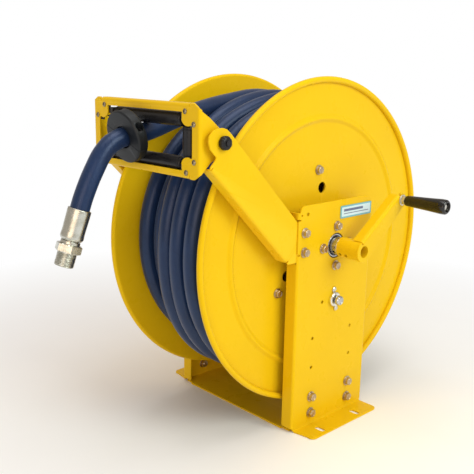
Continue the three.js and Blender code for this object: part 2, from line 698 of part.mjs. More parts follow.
// ---- hose lead -------------------------------------------------------------
// The last turns lie over the coil, then the lead runs off its top towards the head.
// Angle about the shaft, in degrees, and place along the drum; the lead leaves at 100.
const WRAP_PLACES = [
  [-985, 92], [-964, 78], [-950, 65], [-900, 66], [-871, 60], [-830, 58], [-780, 54],
  [-720, 50], [-680, 48], [-630, 42], [-604, 30], [-593, 20], [-553, 28], [-529, 26],
  [-511, 16], [-496, 8], [-480, 2], [-450, -4], [-360, -8], [-300, -14], [-260, -16],
  [-240, -16], [-225, -12], [-193, -5], [-172, -6], [-151, -17], [-136, -25], [-120, -33],
  [-90, -40], [-60, -52], [0, -62], [60, -66], [100, -60],
];
// Angle and radius of the hose's centre line: the turns hang a little towards the front.
const WRAP_RADII = [
  [0, 265.6], [60, 265.3], [105, 265.5], [130, 271.5],
  [200, 272], [270, 270], [330, 266.5], [360, 265.6],
];
// The lead beyond the coil (x, y, z).
const LEAD_POINTS = [
  [-53.5, -85, 607], [-44.3, -135, 600.5], [-35.5, -190, 590.5], [-28, -242, 579],
];
// Straight-line value from a table of rising [key, value] rows.
function interpolate(table, key) {
  const i = Math.max(1, table.findIndex(([end]) => end >= key));
  const [key0, value0] = table[i - 1];
  const [key1, value1] = table[i];
  return value0 + ((value1 - value0) * (key - key0)) / (key1 - key0);
}
function hoseLead() {
  const points = [];
  for (let degrees = -980; degrees <= 100; degrees += 15) {
    const radius = interpolate(WRAP_RADII, THREE.MathUtils.euclideanModulo(degrees, 360));
    points.push([interpolate(WRAP_PLACES, degrees), ...ringPoint(radius, degrees)]);
  }
  return hose([...points, ...LEAD_POINTS], HOSE_R, 92);
}
part("hose_lead", hoseLead(), blue);

// ---- hose through the head ---------------------------------------------------
// It passes between the rollers and through the stop, and hangs down with its coupling.
// Ferrule axis, which the end of the hose runs into.
const TAIL_START = new THREE.Vector3(-18, -440, 442);
const TAIL_DIRECTION = new THREE.Vector3(-3, -15.5, -47).normalize();
const tail = (distance) =>
  TAIL_START.clone().addScaledVector(TAIL_DIRECTION, distance).toArray();
const tailRod = (from, to, ...rest) => rod(tail(from), tail(to), ...rest);

// Centre line (x, y, z).
const FRONT_POINTS = [
  [-24.9, -262, 573.8], [-22.3, -277, 569.8], [-19, -298, 565], [-16.5, -310, 563],
  [-15, -322, 562], [-14.2, -335, 560.6], [-14, -347, 558.6], [-14, -357, 556.4],
  [-14.5, -366, 553.2], [-15, -379.5, 546.6], [-15.2, -397, 530], [-15.3, -409.5, 510.5],
  [-15.8, -421, 489.5],
];
const frontLine = [...FRONT_POINTS, ...[-20, -6, 8, 20].map(tail)];
part("hose_front", hose(frontLine, HOSE_R, 26), blue, head);

// ---- hose stop -----------------------------------------------------------
// Two halves clamped round the hose, parted on an inclined plane. The stop is drawn
// square to Y about its centre and then leans forward with the hose.
const STOP_X = -14;
const STOP_Y = -347;
const STOP_Z = 558.5;
const STOP_LEAN = new THREE.Matrix4()
  .makeTranslation(STOP_X, STOP_Y, STOP_Z)
  .multiply(new THREE.Matrix4().makeRotationX(radians(14)))
  .multiply(new THREE.Matrix4().makeTranslation(-STOP_X, -STOP_Y, -STOP_Z));
const STOP_NORMAL = radians(62); // parting plane's normal, from +X towards +Z
const STOP_HALF_GAP = 0.4; // from the parting plane to each half

function stopBody() {
  const boreR = HOSE_R + 1.8;
  const profile = [
    [boreR, STOP_Y + 17],
    [27, STOP_Y + 17],
    [28, STOP_Y + 10],
    [42.5, STOP_Y + 10],
    [44.5, STOP_Y + 8],
    [44.5, STOP_Y - 8],
    [42.5, STOP_Y - 10],
    [boreR, STOP_Y - 10],
  ];
  return turnY(profile, [STOP_X, STOP_Z], 30);
}
// side is +1 for the upper half and -1 for the lower
function stopHalf(side) {
  const [cos, sin] = [Math.cos(STOP_NORMAL), Math.sin(STOP_NORMAL)];
  // distances along the parting plane and away from it, to (x, z)
  const place = (along, away) => [
    STOP_X - along * sin + away * cos,
    STOP_Z + along * cos + away * sin,
  ];
  const bore = (along, from, to, radius) => {
    const [x0, z0] = place(along, from);
    const [x1, z1] = place(along, to);
    return rod([x0, STOP_Y, z0], [x1, STOP_Y, z1], radius, 10);
  };
  const near = side * STOP_HALF_GAP;
  const far = -side * 80;
  const otherHalf = [place(-70, near), place(70, near), place(70, far), place(-70, far)];
  const half = cut(
    stopBody(),
    plateY(otherHalf, STOP_Y - 40, STOP_Y + 40),
    // screw holes with their counterbores
    ...[27, -27].flatMap((along) => [
      bore(along, -60, 60, 3.4),
      bore(along, side * 20, side * 60, 6.5),
    ]),
  );
  return transformed(half, STOP_LEAN);
}
part("hose_stop_upper_half", stopHalf(1), rubber, head);
part("hose_stop_lower_half", stopHalf(-1), rubber, head);

// ---- coupling --------------------------------------------------------------
function couplingFerrule() {
  const outerR = 19.5;
  return cut(
    join(tailRod(-3, 45, outerR, 18), tailRod(44.4, 49.6, outerR, 18, 17)),
    tailRod(-10, 28, 17.2, 18),
    tailRod(20, 60, 13.4, 14),
  );
}
function couplingStem() {
  return cut(
    join(
      tailRod(30, 57, 12.8, 16),
      tailRod(50.1, 56.6, 16.2, 16),
      tailRod(55.8, 69.8, 22, 6),
      tailRod(69, 93.5, 16.2, 18),
    ),
    tailRod(20, 100, 10, 12),
  );
}
part("coupling_ferrule", couplingFerrule(), zinc, head);
part("coupling_stem", couplingStem(), zinc, head);

// ---- inlet swivel --------------------------------------------------------
const SWIVEL_PROFILE = [
  [17.5, -164], [26, -164], [26, -209], [23, -213], [0, -213], [0, -205], [17.5, -205],
];
const INLET = [-188, AXIS_Z]; // inlet branch (x, z), which points to the rear
function swivelBody() {
  return cut(
    join(
      turnX(SWIVEL_PROFILE, SHAFT, 18),
      rodY(18, 46, INLET, 19, 16),
      rodY(44, 62, INLET, 24, 6),
    ),
    rodY(10, 80, INLET, 14.5, 14),
    rodX(-216, -209, SHAFT, 8, 6), // hex recess in the closed end
  );
}
part("swivel_body", swivelBody(), brass);

// ---- data plate, plain ---------------------------------------------------
part("data_plate", box(WEB_OUT + GAP, WEB_OUT + 1.1, 8, 102, 400, 424), paleBlue);

export default root;
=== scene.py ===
# Hand-cranked hose reel on two folded pedestals, with a tilting roller head.
# Built in millimetres in the CAD frame: X runs along the shaft to the crank, -Y to the
# hose outlet (the front), +Z up. Every mesh is scaled to metres when it is made.
import json
import math

import bmesh
import bpy
import numpy as np
from mathutils import Matrix, Vector


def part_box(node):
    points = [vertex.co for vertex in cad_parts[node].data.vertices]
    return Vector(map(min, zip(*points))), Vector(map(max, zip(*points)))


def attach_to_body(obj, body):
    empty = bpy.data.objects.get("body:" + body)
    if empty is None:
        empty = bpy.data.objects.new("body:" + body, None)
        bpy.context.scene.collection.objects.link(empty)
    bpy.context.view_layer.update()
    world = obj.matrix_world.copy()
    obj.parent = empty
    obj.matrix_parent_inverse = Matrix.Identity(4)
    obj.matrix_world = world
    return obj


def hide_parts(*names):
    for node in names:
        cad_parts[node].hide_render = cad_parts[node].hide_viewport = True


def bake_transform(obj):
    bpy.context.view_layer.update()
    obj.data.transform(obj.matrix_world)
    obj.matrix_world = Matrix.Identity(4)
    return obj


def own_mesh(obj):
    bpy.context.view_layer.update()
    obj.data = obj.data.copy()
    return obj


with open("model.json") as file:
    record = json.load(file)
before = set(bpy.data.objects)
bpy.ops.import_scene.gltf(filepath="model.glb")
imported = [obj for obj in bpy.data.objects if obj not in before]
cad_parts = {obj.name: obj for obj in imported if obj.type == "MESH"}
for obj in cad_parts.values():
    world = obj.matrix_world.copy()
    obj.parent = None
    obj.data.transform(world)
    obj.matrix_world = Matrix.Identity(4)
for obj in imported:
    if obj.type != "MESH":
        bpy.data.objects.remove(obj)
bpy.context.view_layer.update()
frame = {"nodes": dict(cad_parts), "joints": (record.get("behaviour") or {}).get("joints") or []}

MM = 0.001
SCENE = bpy.context.scene
SIDES = (("crank_side", 1), ("inlet_side", -1))  # name, sign of X
rng = np.random.default_rng(7)


# ---- sizes read from the CAD frame ----------------------------------------------
def cad_box(node):
    lo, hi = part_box(node)
    return np.array(lo) / MM, np.array(hi) / MM


def joint_yz(name):
    position = joints[name]["pos_m"]
    return position[1] / MM, position[2] / MM


SHEET = 3.0  # thickness of the pedestal, arm, tray and head plate

disc_lo, disc_hi = cad_box("disc_crank_side")
AXIS_Z = (disc_lo[2] + disc_hi[2]) / 2
DISC_RADIUS = (disc_hi[2] - disc_lo[2]) / 2
DISC_INNER_X, DISC_OUTER_X = disc_lo[0], disc_hi[0]
upright_lo, upright_hi = cad_box("upright_crank_side")
FOOT_OUTER_X, UPRIGHT_HALF, UPRIGHT_TOP = upright_hi
FLANGE_INNER_X = upright_lo[0]
PLATE_LO, PLATE_HI = cad_box("data_plate")
WEB_OUTER_X = PLATE_LO[0] - 0.3
WEB_INNER_X = WEB_OUTER_X - SHEET
ARM_OUTER_X = cad_box("guide_arm_crank_side")[1][0]
ARM_INNER_X = ARM_OUTER_X - SHEET
TRAY_OUTER_X = cad_box("base_tray")[1][0]
head_lo, head_hi = cad_box("head_frame")
HEAD_FRONT, HEAD_HALF = head_lo[1], head_hi[0]
HEAD_BOTTOM, HEAD_TOP = head_lo[2], head_hi[2]
roller_lo, roller_hi = cad_box("roller_top")
ROLLER_Y = (roller_lo[1] + roller_hi[1]) / 2
ROLLER_RADIUS = (roller_hi[1] - roller_lo[1]) / 2
ROLLER_TOP_Z = (roller_lo[2] + roller_hi[2]) / 2
ROLLER_HALF = roller_hi[0]
roller_lo, roller_hi = cad_box("roller_bottom")
ROLLER_BOTTOM_Z = (roller_lo[2] + roller_hi[2]) / 2
ROLLER_MID_Z = (ROLLER_TOP_Z + ROLLER_BOTTOM_Z) / 2
roller_lo, roller_hi = cad_box("roller_crank_side")
SIDE_ROLLER_X = (roller_lo[0] + roller_hi[0]) / 2
SIDE_ROLLER_HALF = (roller_hi[2] - roller_lo[2]) / 2
LEVER_INNER_X, LEVER_OUTER_X = (box[0] for box in cad_box("crank_arm"))
GRIP_START, GRIP_END = (box[0] for box in cad_box("crank_grip"))
knob_lo, knob_hi = cad_box("lock_knob")
LOCK_Z = (knob_lo[2] + knob_hi[2]) / 2

joints = {joint["name"]: joint for joint in frame["joints"]}
CRANK = joint_yz("grip_spin")
PIVOT = joint_yz("guide_tilt") if "guide_tilt" in joints else (-287.0, 558.0)

SHAFT = (0, 0, AXIS_Z)
LOCK = (0, 0, LOCK_Z)
ALONG_X = (1, 0, 0)
HOSE_RADIUS = 16.25


# ---- material helpers -----------------------------------------------------------
class Graph:
    """Short hand for building a node tree; values and sockets may be mixed freely."""

    def __init__(self, tree):
        self.tree = tree

    def add(self, kind, **settings):
        node = self.tree.nodes.new(kind)
        for key, value in settings.items():
            setattr(node, key, value)
        return node

    def link(self, source, target):
        self.tree.links.new(source, target)

    def feed(self, node, inputs):
        """Fills inputs, given by name or index, with sockets, numbers or colours."""
        for key, value in inputs.items():
            if isinstance(value, bpy.types.NodeSocket):
                self.link(value, node.inputs[key])
            else:
                node.inputs[key].default_value = value

    def coords(self, which="Object"):
        return self.add("ShaderNodeTexCoord").outputs[which]

    def stretch(self, coords, scale):
        node = self.add("ShaderNodeMapping")
        self.feed(node, {0: coords, "Scale": scale})
        return node.outputs[0]

    def noise(self, coords, scale, detail=4.0, roughness=0.55):
        node = self.add("ShaderNodeTexNoise")
        self.feed(node, {"Vector": coords, "Scale": scale, "Detail": detail})
        self.feed(node, {"Roughness": roughness})
        return node.outputs[0]

    def cells(self, coords, scale):
        node = self.add("ShaderNodeTexVoronoi", feature="F1")
        self.feed(node, {"Vector": coords, "Scale": scale})
        return node.outputs[0]

    def math(self, operation, a, b=0.0):
        node = self.add("ShaderNodeMath", operation=operation)
        self.feed(node, {0: a, 1: b})
        return node.outputs[0]

    def multiply(self, a, b):
        return self.math("MULTIPLY", a, b)

    def plus(self, a, b):
        return self.math("ADD", a, b)

    def remap(self, value, span, to=(0.0, 1.0)):
        node = self.add("ShaderNodeMapRange")
        self.feed(node, dict(enumerate((value, *span, *to))))
        return node.outputs[0]

    def mix(self, amount, base, over):
        """Lays the colour over on base by amount."""
        node = self.add("ShaderNodeMix", data_type="RGBA", blend_type="MIX")
        colors = [(*c, 1) if isinstance(c, tuple) else c for c in (base, over)]
        self.feed(node, {0: amount, 6: colors[0], 7: colors[1]})
        return node.outputs[2]

    def bump(self, height, strength, distance, normal=None):
        node = self.add("ShaderNodeBump")
        self.feed(node, {"Strength": strength, "Distance": distance, "Height": height})
        if normal is not None:
            self.feed(node, {"Normal": normal})
        return node.outputs[0]

    def pointiness(self):
        return self.add("ShaderNodeNewGeometry").outputs["Pointiness"]

    def split(self, vector):
        node = self.add("ShaderNodeSeparateXYZ")
        self.link(vector, node.inputs[0])
        return node.outputs


def new_material(name):
    material = bpy.data.materials.new(name)
    material.use_nodes = True
    graph = Graph(material.node_tree)
    graph.tree.nodes.clear()
    output = graph.add("ShaderNodeOutputMaterial")
    bsdf = graph.add("ShaderNodeBsdfPrincipled")
    graph.link(bsdf.outputs[0], output.inputs[0])
    return material, graph, bsdf


def enamel_material(name):
    """Gloss yellow enamel: orange-peel bump, faint pooling, dust, a painted highlight on convex edges
    and painted shade in concave corners.
    """
    yellow, pooled, pale = (0.78, 0.50, 0.006), (0.70, 0.42, 0.004), (0.90, 0.62, 0.03)
    edge_highlight_yellow, concave_shade_orange, dust = (0.92, 0.60, 0.03), (0.48, 0.26, 0.003), (0.50, 0.33, 0.10)
    material, g, bsdf = new_material(name)
    coords = g.coords()
    pooling = g.noise(coords, scale=7.0, detail=3.0)
    color = g.mix(g.remap(pooling, span=(0.35, 0.7), to=(0.0, 0.35)), yellow, pooled)
    fine = g.noise(coords, scale=120.0, detail=3.0)
    color = g.mix(g.remap(fine, span=(0.4, 0.7), to=(0.0, 0.05)), color, pale)
    # painted highlight: convex corners are mixed toward a paler yellow
    pointiness = g.pointiness()
    edge = g.remap(pointiness, span=(0.53, 0.60))
    color = g.mix(g.multiply(edge, 0.30), color, edge_highlight_yellow)
    # painted shade: concave corners are mixed toward a darker orange
    pit = g.remap(pointiness, span=(0.47, 0.40))
    color = g.mix(g.multiply(pit, 0.45), color, concave_shade_orange)
    # a thin scatter of dust specks, kept to patches
    speck = g.remap(g.cells(coords, scale=260.0), span=(0.05, 0.02))
    patch = g.remap(g.noise(coords, scale=14.0, detail=2.0), span=(0.58, 0.68))
    color = g.mix(g.multiply(g.multiply(speck, patch), 0.35), color, dust)
    rough = g.noise(coords, scale=30.0, detail=4.0)
    peel = g.noise(coords, scale=420.0, detail=2.0, roughness=0.5)
    wave = g.noise(coords, scale=18.0, detail=2.0)
    waviness = g.bump(wave, strength=0.12, distance=0.0012)
    g.feed(bsdf, {
        "Base Color": color,
        "Roughness": g.remap(rough, span=(0.3, 0.75), to=(0.24, 0.40)),
        "Coat Weight": 0.03,
        "Coat Roughness": 0.16,
        "Specular IOR Level": 0.16,
        "Specular Tint": (1.0, 0.80, 0.20, 1),
        "IOR": 1.5,
        "Normal": g.bump(peel, strength=0.06, distance=0.0006, normal=waviness),
    })
    return material


def metal_material(name, base, tint, rough=(0.22, 0.42), stretch=(1, 1, 1), brush=0.15,
                   recess_grime_and_shade=(0.25, 0.23, 0.20), metallic=1.0):
    """Plated or turned metal: fine lines, mottled tint, dirt and painted shade in the hollows, a painted
    highlight on convex edges.
    """
    painted_edge_highlight = (0.95, 0.94, 0.92)
    material, g, bsdf = new_material(name)
    coords = g.coords()
    mottle = g.noise(coords, scale=90.0, detail=5.0, roughness=0.6)
    color = g.mix(g.remap(mottle, span=(0.3, 0.7)), base, tint)
    pointiness = g.pointiness()
    # hollows are mixed toward a dirt colour, mostly darker than the metal: dirt and painted shade
    color = g.mix(g.remap(pointiness, span=(0.48, 0.38), to=(0.0, 0.75)), color, recess_grime_and_shade)
    # painted highlight: convex edges are mixed toward near white
    color = g.mix(g.remap(pointiness, span=(0.54, 0.62), to=(0.0, 0.4)), color, painted_edge_highlight)
    lines = g.noise(g.stretch(coords, stretch), scale=900.0, detail=3.0, roughness=0.6)
    unevenness = g.plus(g.multiply(lines, 0.5), g.multiply(mottle, 0.5))
    g.feed(bsdf, {
        "Base Color": color,
        "Metallic": metallic,
        "Roughness": g.remap(unevenness, span=(0.3, 0.7), to=rough),
        "Normal": g.bump(lines, strength=brush, distance=0.0003),
    })
    return material


def black_material(name, base, rough, grain, bump, specular, coat=0.0):
    """Moulded black plastic or rubber: fine grain, scuffs and a greyish painted highlight on edges."""
    scuffed = tuple(min(1.0, c * 2.6 + 0.01) for c in base)
    painted_edge_grey = tuple(c * 4 + 0.02 for c in base)
    material, g, bsdf = new_material(name)
    coords = g.coords()
    texture = g.noise(coords, scale=grain, detail=2.0, roughness=0.6)
    scuff = g.noise(g.stretch(coords, (1, 6, 1)), scale=60.0, detail=5.0, roughness=0.7)
    color = g.mix(g.remap(scuff, span=(0.45, 0.8), to=(0.0, 0.5)), base, scuffed)
    # painted highlight: convex edges are mixed toward grey
    edge = g.remap(g.pointiness(), span=(0.53, 0.62), to=(0.0, 0.6))
    g.feed(bsdf, {
        "Base Color": g.mix(edge, color, painted_edge_grey),
        "Roughness": g.remap(scuff, span=(0.3, 0.75), to=rough),
        "Coat Weight": coat,
        "Coat Roughness": 0.08,
        "Specular IOR Level": specular,
        "Normal": g.bump(texture, strength=bump, distance=0.0003),
    })
    return material


def hose_material(name):
    """Blue rubber cover with a fine cloth print, a helical lap, and rougher streaks along it painted
    lighter as highlights.

    Uses UVs in metres: u round the hose, v along it.
    """
    girth = 0.1021
    thread_across, thread_along = girth / 56, 0.0021  # pitch of the printed threads
    lap_pitch = 0.062
    dark_blue, blue, light = (0.0040, 0.0140, 0.050), (0.007, 0.024, 0.080), (0.018, 0.045, 0.110)
    streak_highlight_blue, lap_dark = (0.026, 0.052, 0.115), (0.002, 0.006, 0.020)
    material, g, bsdf = new_material(name)
    uv = g.coords("UV")
    coords = g.coords()
    u, v, _ = g.split(uv)

    def threads(per_u, per_v):
        phase = g.plus(g.multiply(u, per_u), g.multiply(v, per_v))
        return g.math("SINE", g.multiply(phase, 2 * math.pi))

    # two families of fine spiral lines make the print of the cloth
    cloth = g.multiply(
        threads(1 / thread_across, 1 / thread_along),
        threads(-1 / thread_across, 1 / thread_along),
    )
    turns = g.plus(g.math("DIVIDE", v, lap_pitch), g.math("DIVIDE", u, girth))
    lap_edge = g.remap(g.math("FRACT", turns), span=(0.0, 0.035), to=(1.0, 0.0))
    shade = g.noise(coords, scale=16.0, detail=4.0, roughness=0.6)
    color = g.mix(g.remap(shade, span=(0.3, 0.72)), dark_blue, blue)
    fine = g.noise(coords, scale=240.0, detail=4.0, roughness=0.7)
    color = g.mix(g.remap(fine, span=(0.4, 0.75), to=(0.0, 0.20)), color, light)
    # painted highlight: streaks along the hose are mixed lighter, and also made rougher
    streaks = g.noise(g.stretch(uv, (8, 1, 1)), scale=22.0, detail=6.0, roughness=0.75)
    rubbed_streak_highlight = g.remap(streaks, span=(0.56, 0.78), to=(0.0, 0.5))
    color = g.mix(rubbed_streak_highlight, color, streak_highlight_blue)
    color = g.mix(g.multiply(lap_edge, 0.45), color, lap_dark)
    unevenness = g.plus(fine, g.multiply(rubbed_streak_highlight, 0.5))
    height = g.plus(g.multiply(cloth, 0.5), g.multiply(fine, 0.6))
    print_bump = g.bump(height, strength=0.16, distance=0.0003)
    g.feed(bsdf, {
        "Base Color": color,
        "Roughness": g.remap(unevenness, span=(0.3, 1.0), to=(0.28, 0.44)),
        "Specular IOR Level": 0.5,
        "Specular Tint": (0.62, 0.72, 1.0, 1),
        "Sheen Weight": 0.12,
        "Sheen Roughness": 0.5,
        "Sheen Tint": (0.5, 0.65, 1.0, 1),
        "Normal": g.bump(lap_edge, strength=0.25, distance=0.0004, normal=print_bump),
    })
    return material


def plate_material(name):
    """Blank data plate: pale field, teal rule round it and two dark bars. No letters."""
    teal, pale, ink, worn = (0.10, 0.42, 0.50), (0.60, 0.80, 0.86), (0.05, 0.08, 0.20), (0.9, 0.95, 0.97)
    material, g, bsdf = new_material(name)
    coords = g.coords()
    _, y, z = g.split(coords)

    def across_plate(socket, axis):
        """0 to 1 from one edge of the plate to the other"""
        from_edge = g.math("SUBTRACT", socket, PLATE_LO[axis] * MM)
        return g.math("DIVIDE", from_edge, (PLATE_HI[axis] - PLATE_LO[axis]) * MM)

    u, v = across_plate(y, 1), across_plate(z, 2)

    def inside(socket, start, end, soft):
        rise = g.remap(socket, span=(start, start + soft))
        return g.multiply(rise, g.remap(socket, span=(end, end + soft), to=(1.0, 0.0)))

    def rectangle(u_span, v_span):
        return g.multiply(inside(u, *u_span, soft=0.006), inside(v, *v_span, soft=0.03))

    color = g.mix(rectangle(u_span=(0.035, 0.96), v_span=(0.12, 0.86)), teal, pale)
    color = g.mix(rectangle(u_span=(0.10, 0.72), v_span=(0.50, 0.70)), color, ink)
    lower_bar = rectangle(u_span=(0.10, 0.90), v_span=(0.30, 0.37))
    color = g.mix(g.multiply(lower_bar, 0.9), color, ink)
    grain = g.noise(coords, scale=500.0, detail=3.0)
    g.feed(bsdf, {
        "Base Color": g.mix(g.remap(grain, span=(0.4, 0.7), to=(0.0, 0.12)), color, worn),
        "Metallic": 0.15,
        "Roughness": g.remap(grain, span=(0.3, 0.7), to=(0.25, 0.4)),
        "Coat Weight": 0.5,
        "Normal": g.bump(grain, strength=0.08, distance=0.0002),
    })
    return material


PAINT = enamel_material("enamel_yellow")
ZINC = metal_material("zinc_plate", base=(0.72, 0.70, 0.64), tint=(0.60, 0.57, 0.47))
BRIGHT_ZINC = metal_material("zinc_bright", base=(0.86, 0.85, 0.82), tint=(0.72, 0.71, 0.66),
                             rough=(0.16, 0.30), brush=0.08)
ZINC_WARM = metal_material("zinc_passivated", base=(0.60, 0.50, 0.36), tint=(0.44, 0.33, 0.22),
                           rough=(0.22, 0.40))
TURNED = metal_material("turned_steel", base=(0.62, 0.63, 0.64), tint=(0.45, 0.46, 0.47),
                        rough=(0.18, 0.35), stretch=(6, 1, 1), brush=0.25)
BRIGHT = metal_material("bright_coupling", base=(0.66, 0.66, 0.60), tint=(0.50, 0.50, 0.43),
                        rough=(0.20, 0.34), stretch=(1, 1, 8), brush=0.2, recess_grime_and_shade=(0.12, 0.12, 0.10))
CAST = metal_material("bearing_casting", base=(0.16, 0.17, 0.18), tint=(0.10, 0.105, 0.11),
                      rough=(0.45, 0.65), brush=0.5, metallic=0.7)
BRASS = metal_material("machined_brass", base=(0.72, 0.50, 0.20), tint=(0.55, 0.36, 0.13),
                       rough=(0.22, 0.40), stretch=(5, 1, 1), brush=0.2)
NYLON = black_material("black_nylon", base=(0.007, 0.007, 0.008), rough=(0.24, 0.42),
                       grain=700.0, bump=0.08, specular=0.28)
STOP = black_material("black_stop_rubber", base=(0.006, 0.008, 0.010), rough=(0.34, 0.52),
                      grain=420.0, bump=0.22, specular=0.30)
GRIP = black_material("black_gloss_grip", base=(0.006, 0.0055, 0.0055), rough=(0.12, 0.24),
                      grain=300.0, bump=0.03, specular=0.35, coat=0.35)
ZINC_DARK = metal_material("zinc_dark_screw", base=(0.36, 0.30, 0.20), tint=(0.22, 0.18, 0.12),
                           rough=(0.28, 0.45))
BLACKENED = metal_material("blackened_steel", base=(0.050, 0.048, 0.045),
                           tint=(0.030, 0.028, 0.026), rough=(0.34, 0.5),
                           recess_grime_and_shade=(0.012, 0.012, 0.012), metallic=0.6)
HOSE = hose_material("hose_cover")
PLATE = plate_material("plain_plate_face")


# ---- outlines -------------------------------------------------------------------
def arc(u, v, radius, start, end, steps):
    angles = [math.radians(start + (end - start) * i / steps) for i in range(steps + 1)]
    return [(u + radius * math.cos(a), v + radius * math.sin(a)) for a in angles]


def circle(u, v, radius, count):
    angles = [2 * math.pi * i / count for i in range(count)]
    return [(u + radius * math.cos(a), v + radius * math.sin(a)) for a in angles]


def rounded(points, steps=4):
    """Closed polygon whose corners (u, v, radius) are rounded; (u, v) stays sharp."""
    out = []
    for i, (u, v, *radius) in enumerate(points):
        if not radius or radius[0] <= 0:
            out.append((u, v))
            continue
        corner = np.array((u, v), float)
        before = np.array(points[i - 1][:2], float) - corner
        after = np.array(points[(i + 1) % len(points)][:2], float) - corner
        len_before, len_after = np.linalg.norm(before), np.linalg.norm(after)
        before, after = before / len_before, after / len_after
        angle = math.acos(max(-1, min(1, float(before @ after))))
        # the rounding takes at most about half of either side
        cut = min(radius[0] / math.tan(angle / 2), len_before * 0.49, len_after * 0.49)
        r = cut * math.tan(angle / 2)
        bisector = (before + after) / np.linalg.norm(before + after)
        centre = corner + bisector * (r / math.sin(angle / 2))
        start, end = corner + before * cut - centre, corner + after * cut - centre
        first = math.atan2(start[1], start[0])
        sweep = math.atan2(end[1], end[0]) - first
        sweep = (sweep + math.pi) % (2 * math.pi) - math.pi
        for k in range(steps + 1):
            t = first + sweep * k / steps
            out.append((centre[0] + r * math.cos(t), centre[1] + r * math.sin(t)))
    return out


def without_repeats(points, gap):
    """Drops points that lie within gap of the one before."""
    kept = [points[0]]
    for point in points[1:]:
        if math.dist(point, kept[-1]) > gap:
            kept.append(point)
    return kept


def mirrored(points):
    """Appends the points again with their first coordinate negated, in reverse order."""
    return points + [(-first, *rest) for first, *rest in reversed(points)]


def ring(start, end, bore, radius, outer=(0, 0), inner=(0, 0)):
    """Lathe profile of a washer, tube or rod; outer and inner round its edges at each end."""
    return [(start, bore, inner[0]), (start, radius, outer[0]),
            (end, radius, outer[1]), (end, bore, inner[1])]


def around_shaft(radius, angles):
    """(y, z) of places on a circle about the shaft, angles in degrees from +Y to +Z"""
    return [(radius * math.cos(math.radians(a)), AXIS_Z + radius * math.sin(math.radians(a)))
            for a in angles]


def radial(angle):
    return Vector((0, math.cos(math.radians(angle)), math.sin(math.radians(angle))))


# ---- mesh helpers ---------------------------------------------------------------
def finish_mesh(name, mesh, material, angle):
    """Makes the object; angle is the smoothing limit in degrees, None leaves it flat."""
    obj = bpy.data.objects.new(name, mesh)
    SCENE.collection.objects.link(obj)
    mesh.materials.append(material)
    if angle is not None:
        reshade(obj, angle)
    return obj


def reshade(obj, angle=32.0):
    obj.data.shade_smooth()
    obj.data.set_sharp_from_angle(angle=math.radians(angle))


def mesh_object(name, verts, faces, material, angle, uvs=None):
    mesh = bpy.data.meshes.new(name)
    mesh.from_pydata([tuple(v) for v in np.asarray(verts, float) * MM], [], faces)
    if uvs is not None:
        layer = mesh.uv_layers.new(name="UVMap")
        layer.data.foreach_set("uv", np.asarray(uvs, np.float32).ravel())
    mesh.update()
    bm = bmesh.new()
    bm.from_mesh(mesh)
    bmesh.ops.recalc_face_normals(bm, faces=bm.faces)
    bm.to_mesh(mesh)
    bm.free()
    return finish_mesh(name, mesh, material, angle)


def weighted(obj):
    modifier = obj.modifiers.new("weighted", "WEIGHTED_NORMAL")
    modifier.keep_sharp = True
    modifier.weight = 80
    return obj


def edge_bevel(obj, width, angle):
    modifier = obj.modifiers.new("bevel", "BEVEL")
    modifier.width = width
    modifier.limit_method = "ANGLE"
    modifier.angle_limit = math.radians(angle)
    return modifier


def attach(obj, body, *nodes, slot):
    """Fixes the object to a moving body, in place of CAD nodes if any are given."""
    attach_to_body(obj, body)
    if nodes:
        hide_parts(*nodes)


def join(name, *objects):
    """Joins the meshes of objects into one object, keeping materials."""
    bm = bmesh.new()
    materials = []
    for obj in objects:
        for material in obj.data.materials:
            if material not in materials:
                materials.append(material)
        slots = [materials.index(material) for material in obj.data.materials]
        before = len(bm.faces)
        bm.from_mesh(obj.data)
        bm.faces.ensure_lookup_table()
        for face in bm.faces[before:]:
            face.material_index = slots[face.material_index]
    mesh = bpy.data.meshes.new(name)
    bm.to_mesh(mesh)
    bm.free()
    for material in materials:
        mesh.materials.append(material)
    for obj in objects:
        bpy.data.objects.remove(obj)
    joined = bpy.data.objects.new(name, mesh)
    SCENE.collection.objects.link(joined)
    return joined


def evaluated_mesh(obj):
    graph = bpy.context.evaluated_depsgraph_get()
    return bpy.data.meshes.new_from_object(obj.evaluated_get(graph))


def cut(obj, tool):
    """Takes the tool out of the object and removes the tool."""
    modifier = obj.modifiers.new("cut", "BOOLEAN")
    modifier.operation = "DIFFERENCE"
    modifier.object = tool
    modifier.solver = "EXACT"
    bpy.context.view_layer.update()
    mesh = evaluated_mesh(obj)
    obj.modifiers.remove(modifier)
    obj.data = mesh
    mesh.name = obj.name
    bpy.data.objects.remove(tool)


def quad(row_a, row_b, i, count):
    """Face i of the band between two rows of count vertices"""
    j = (i + 1) % count
    return (row_a * count + i, row_a * count + j, row_b * count + j, row_b * count + i)


def axis_placer(origin, axis):
    """Returns place(along, angle, radius), a point about the axis."""
    along_axis = Vector(axis).normalized()
    up = Vector((0, 0, 1)) if abs(along_axis.z) < 0.9 else Vector((0, 1, 0))
    e1 = up.cross(along_axis).normalized()
    e2 = along_axis.cross(e1)
    start = Vector(origin)

    def place(along, angle, radius):
        return tuple(
            start + along_axis * along + (e1 * math.cos(angle) + e2 * math.sin(angle)) * radius
        )

    return place


def lathe(profile, origin, axis, material, segments=64, angle=32.0, name="part"):
    """Solid of revolution. The closed profile holds (along, radius[, rounding])."""
    place = axis_placer(origin, axis)
    verts, rows, faces = [], [], []
    for along, radius in rounded(profile):
        count = 1 if radius < 1e-6 else segments
        rows.append(range(len(verts), len(verts) + count))
        verts += [place(along, 2 * math.pi * i / segments, radius) for i in range(count)]
    for a, b in zip(rows, rows[1:] + rows[:1]):
        if len(a) == 1 and len(b) == 1:
            continue
        for i in range(segments):
            j = (i + 1) % segments
            if len(a) == 1:
                faces.append((a[0], b[i], b[j]))
            elif len(b) == 1:
                faces.append((a[i], a[j], b[0]))
            else:
                faces.append((a[i], a[j], b[j], b[i]))
    return mesh_object(name, verts, faces, material, angle, None)


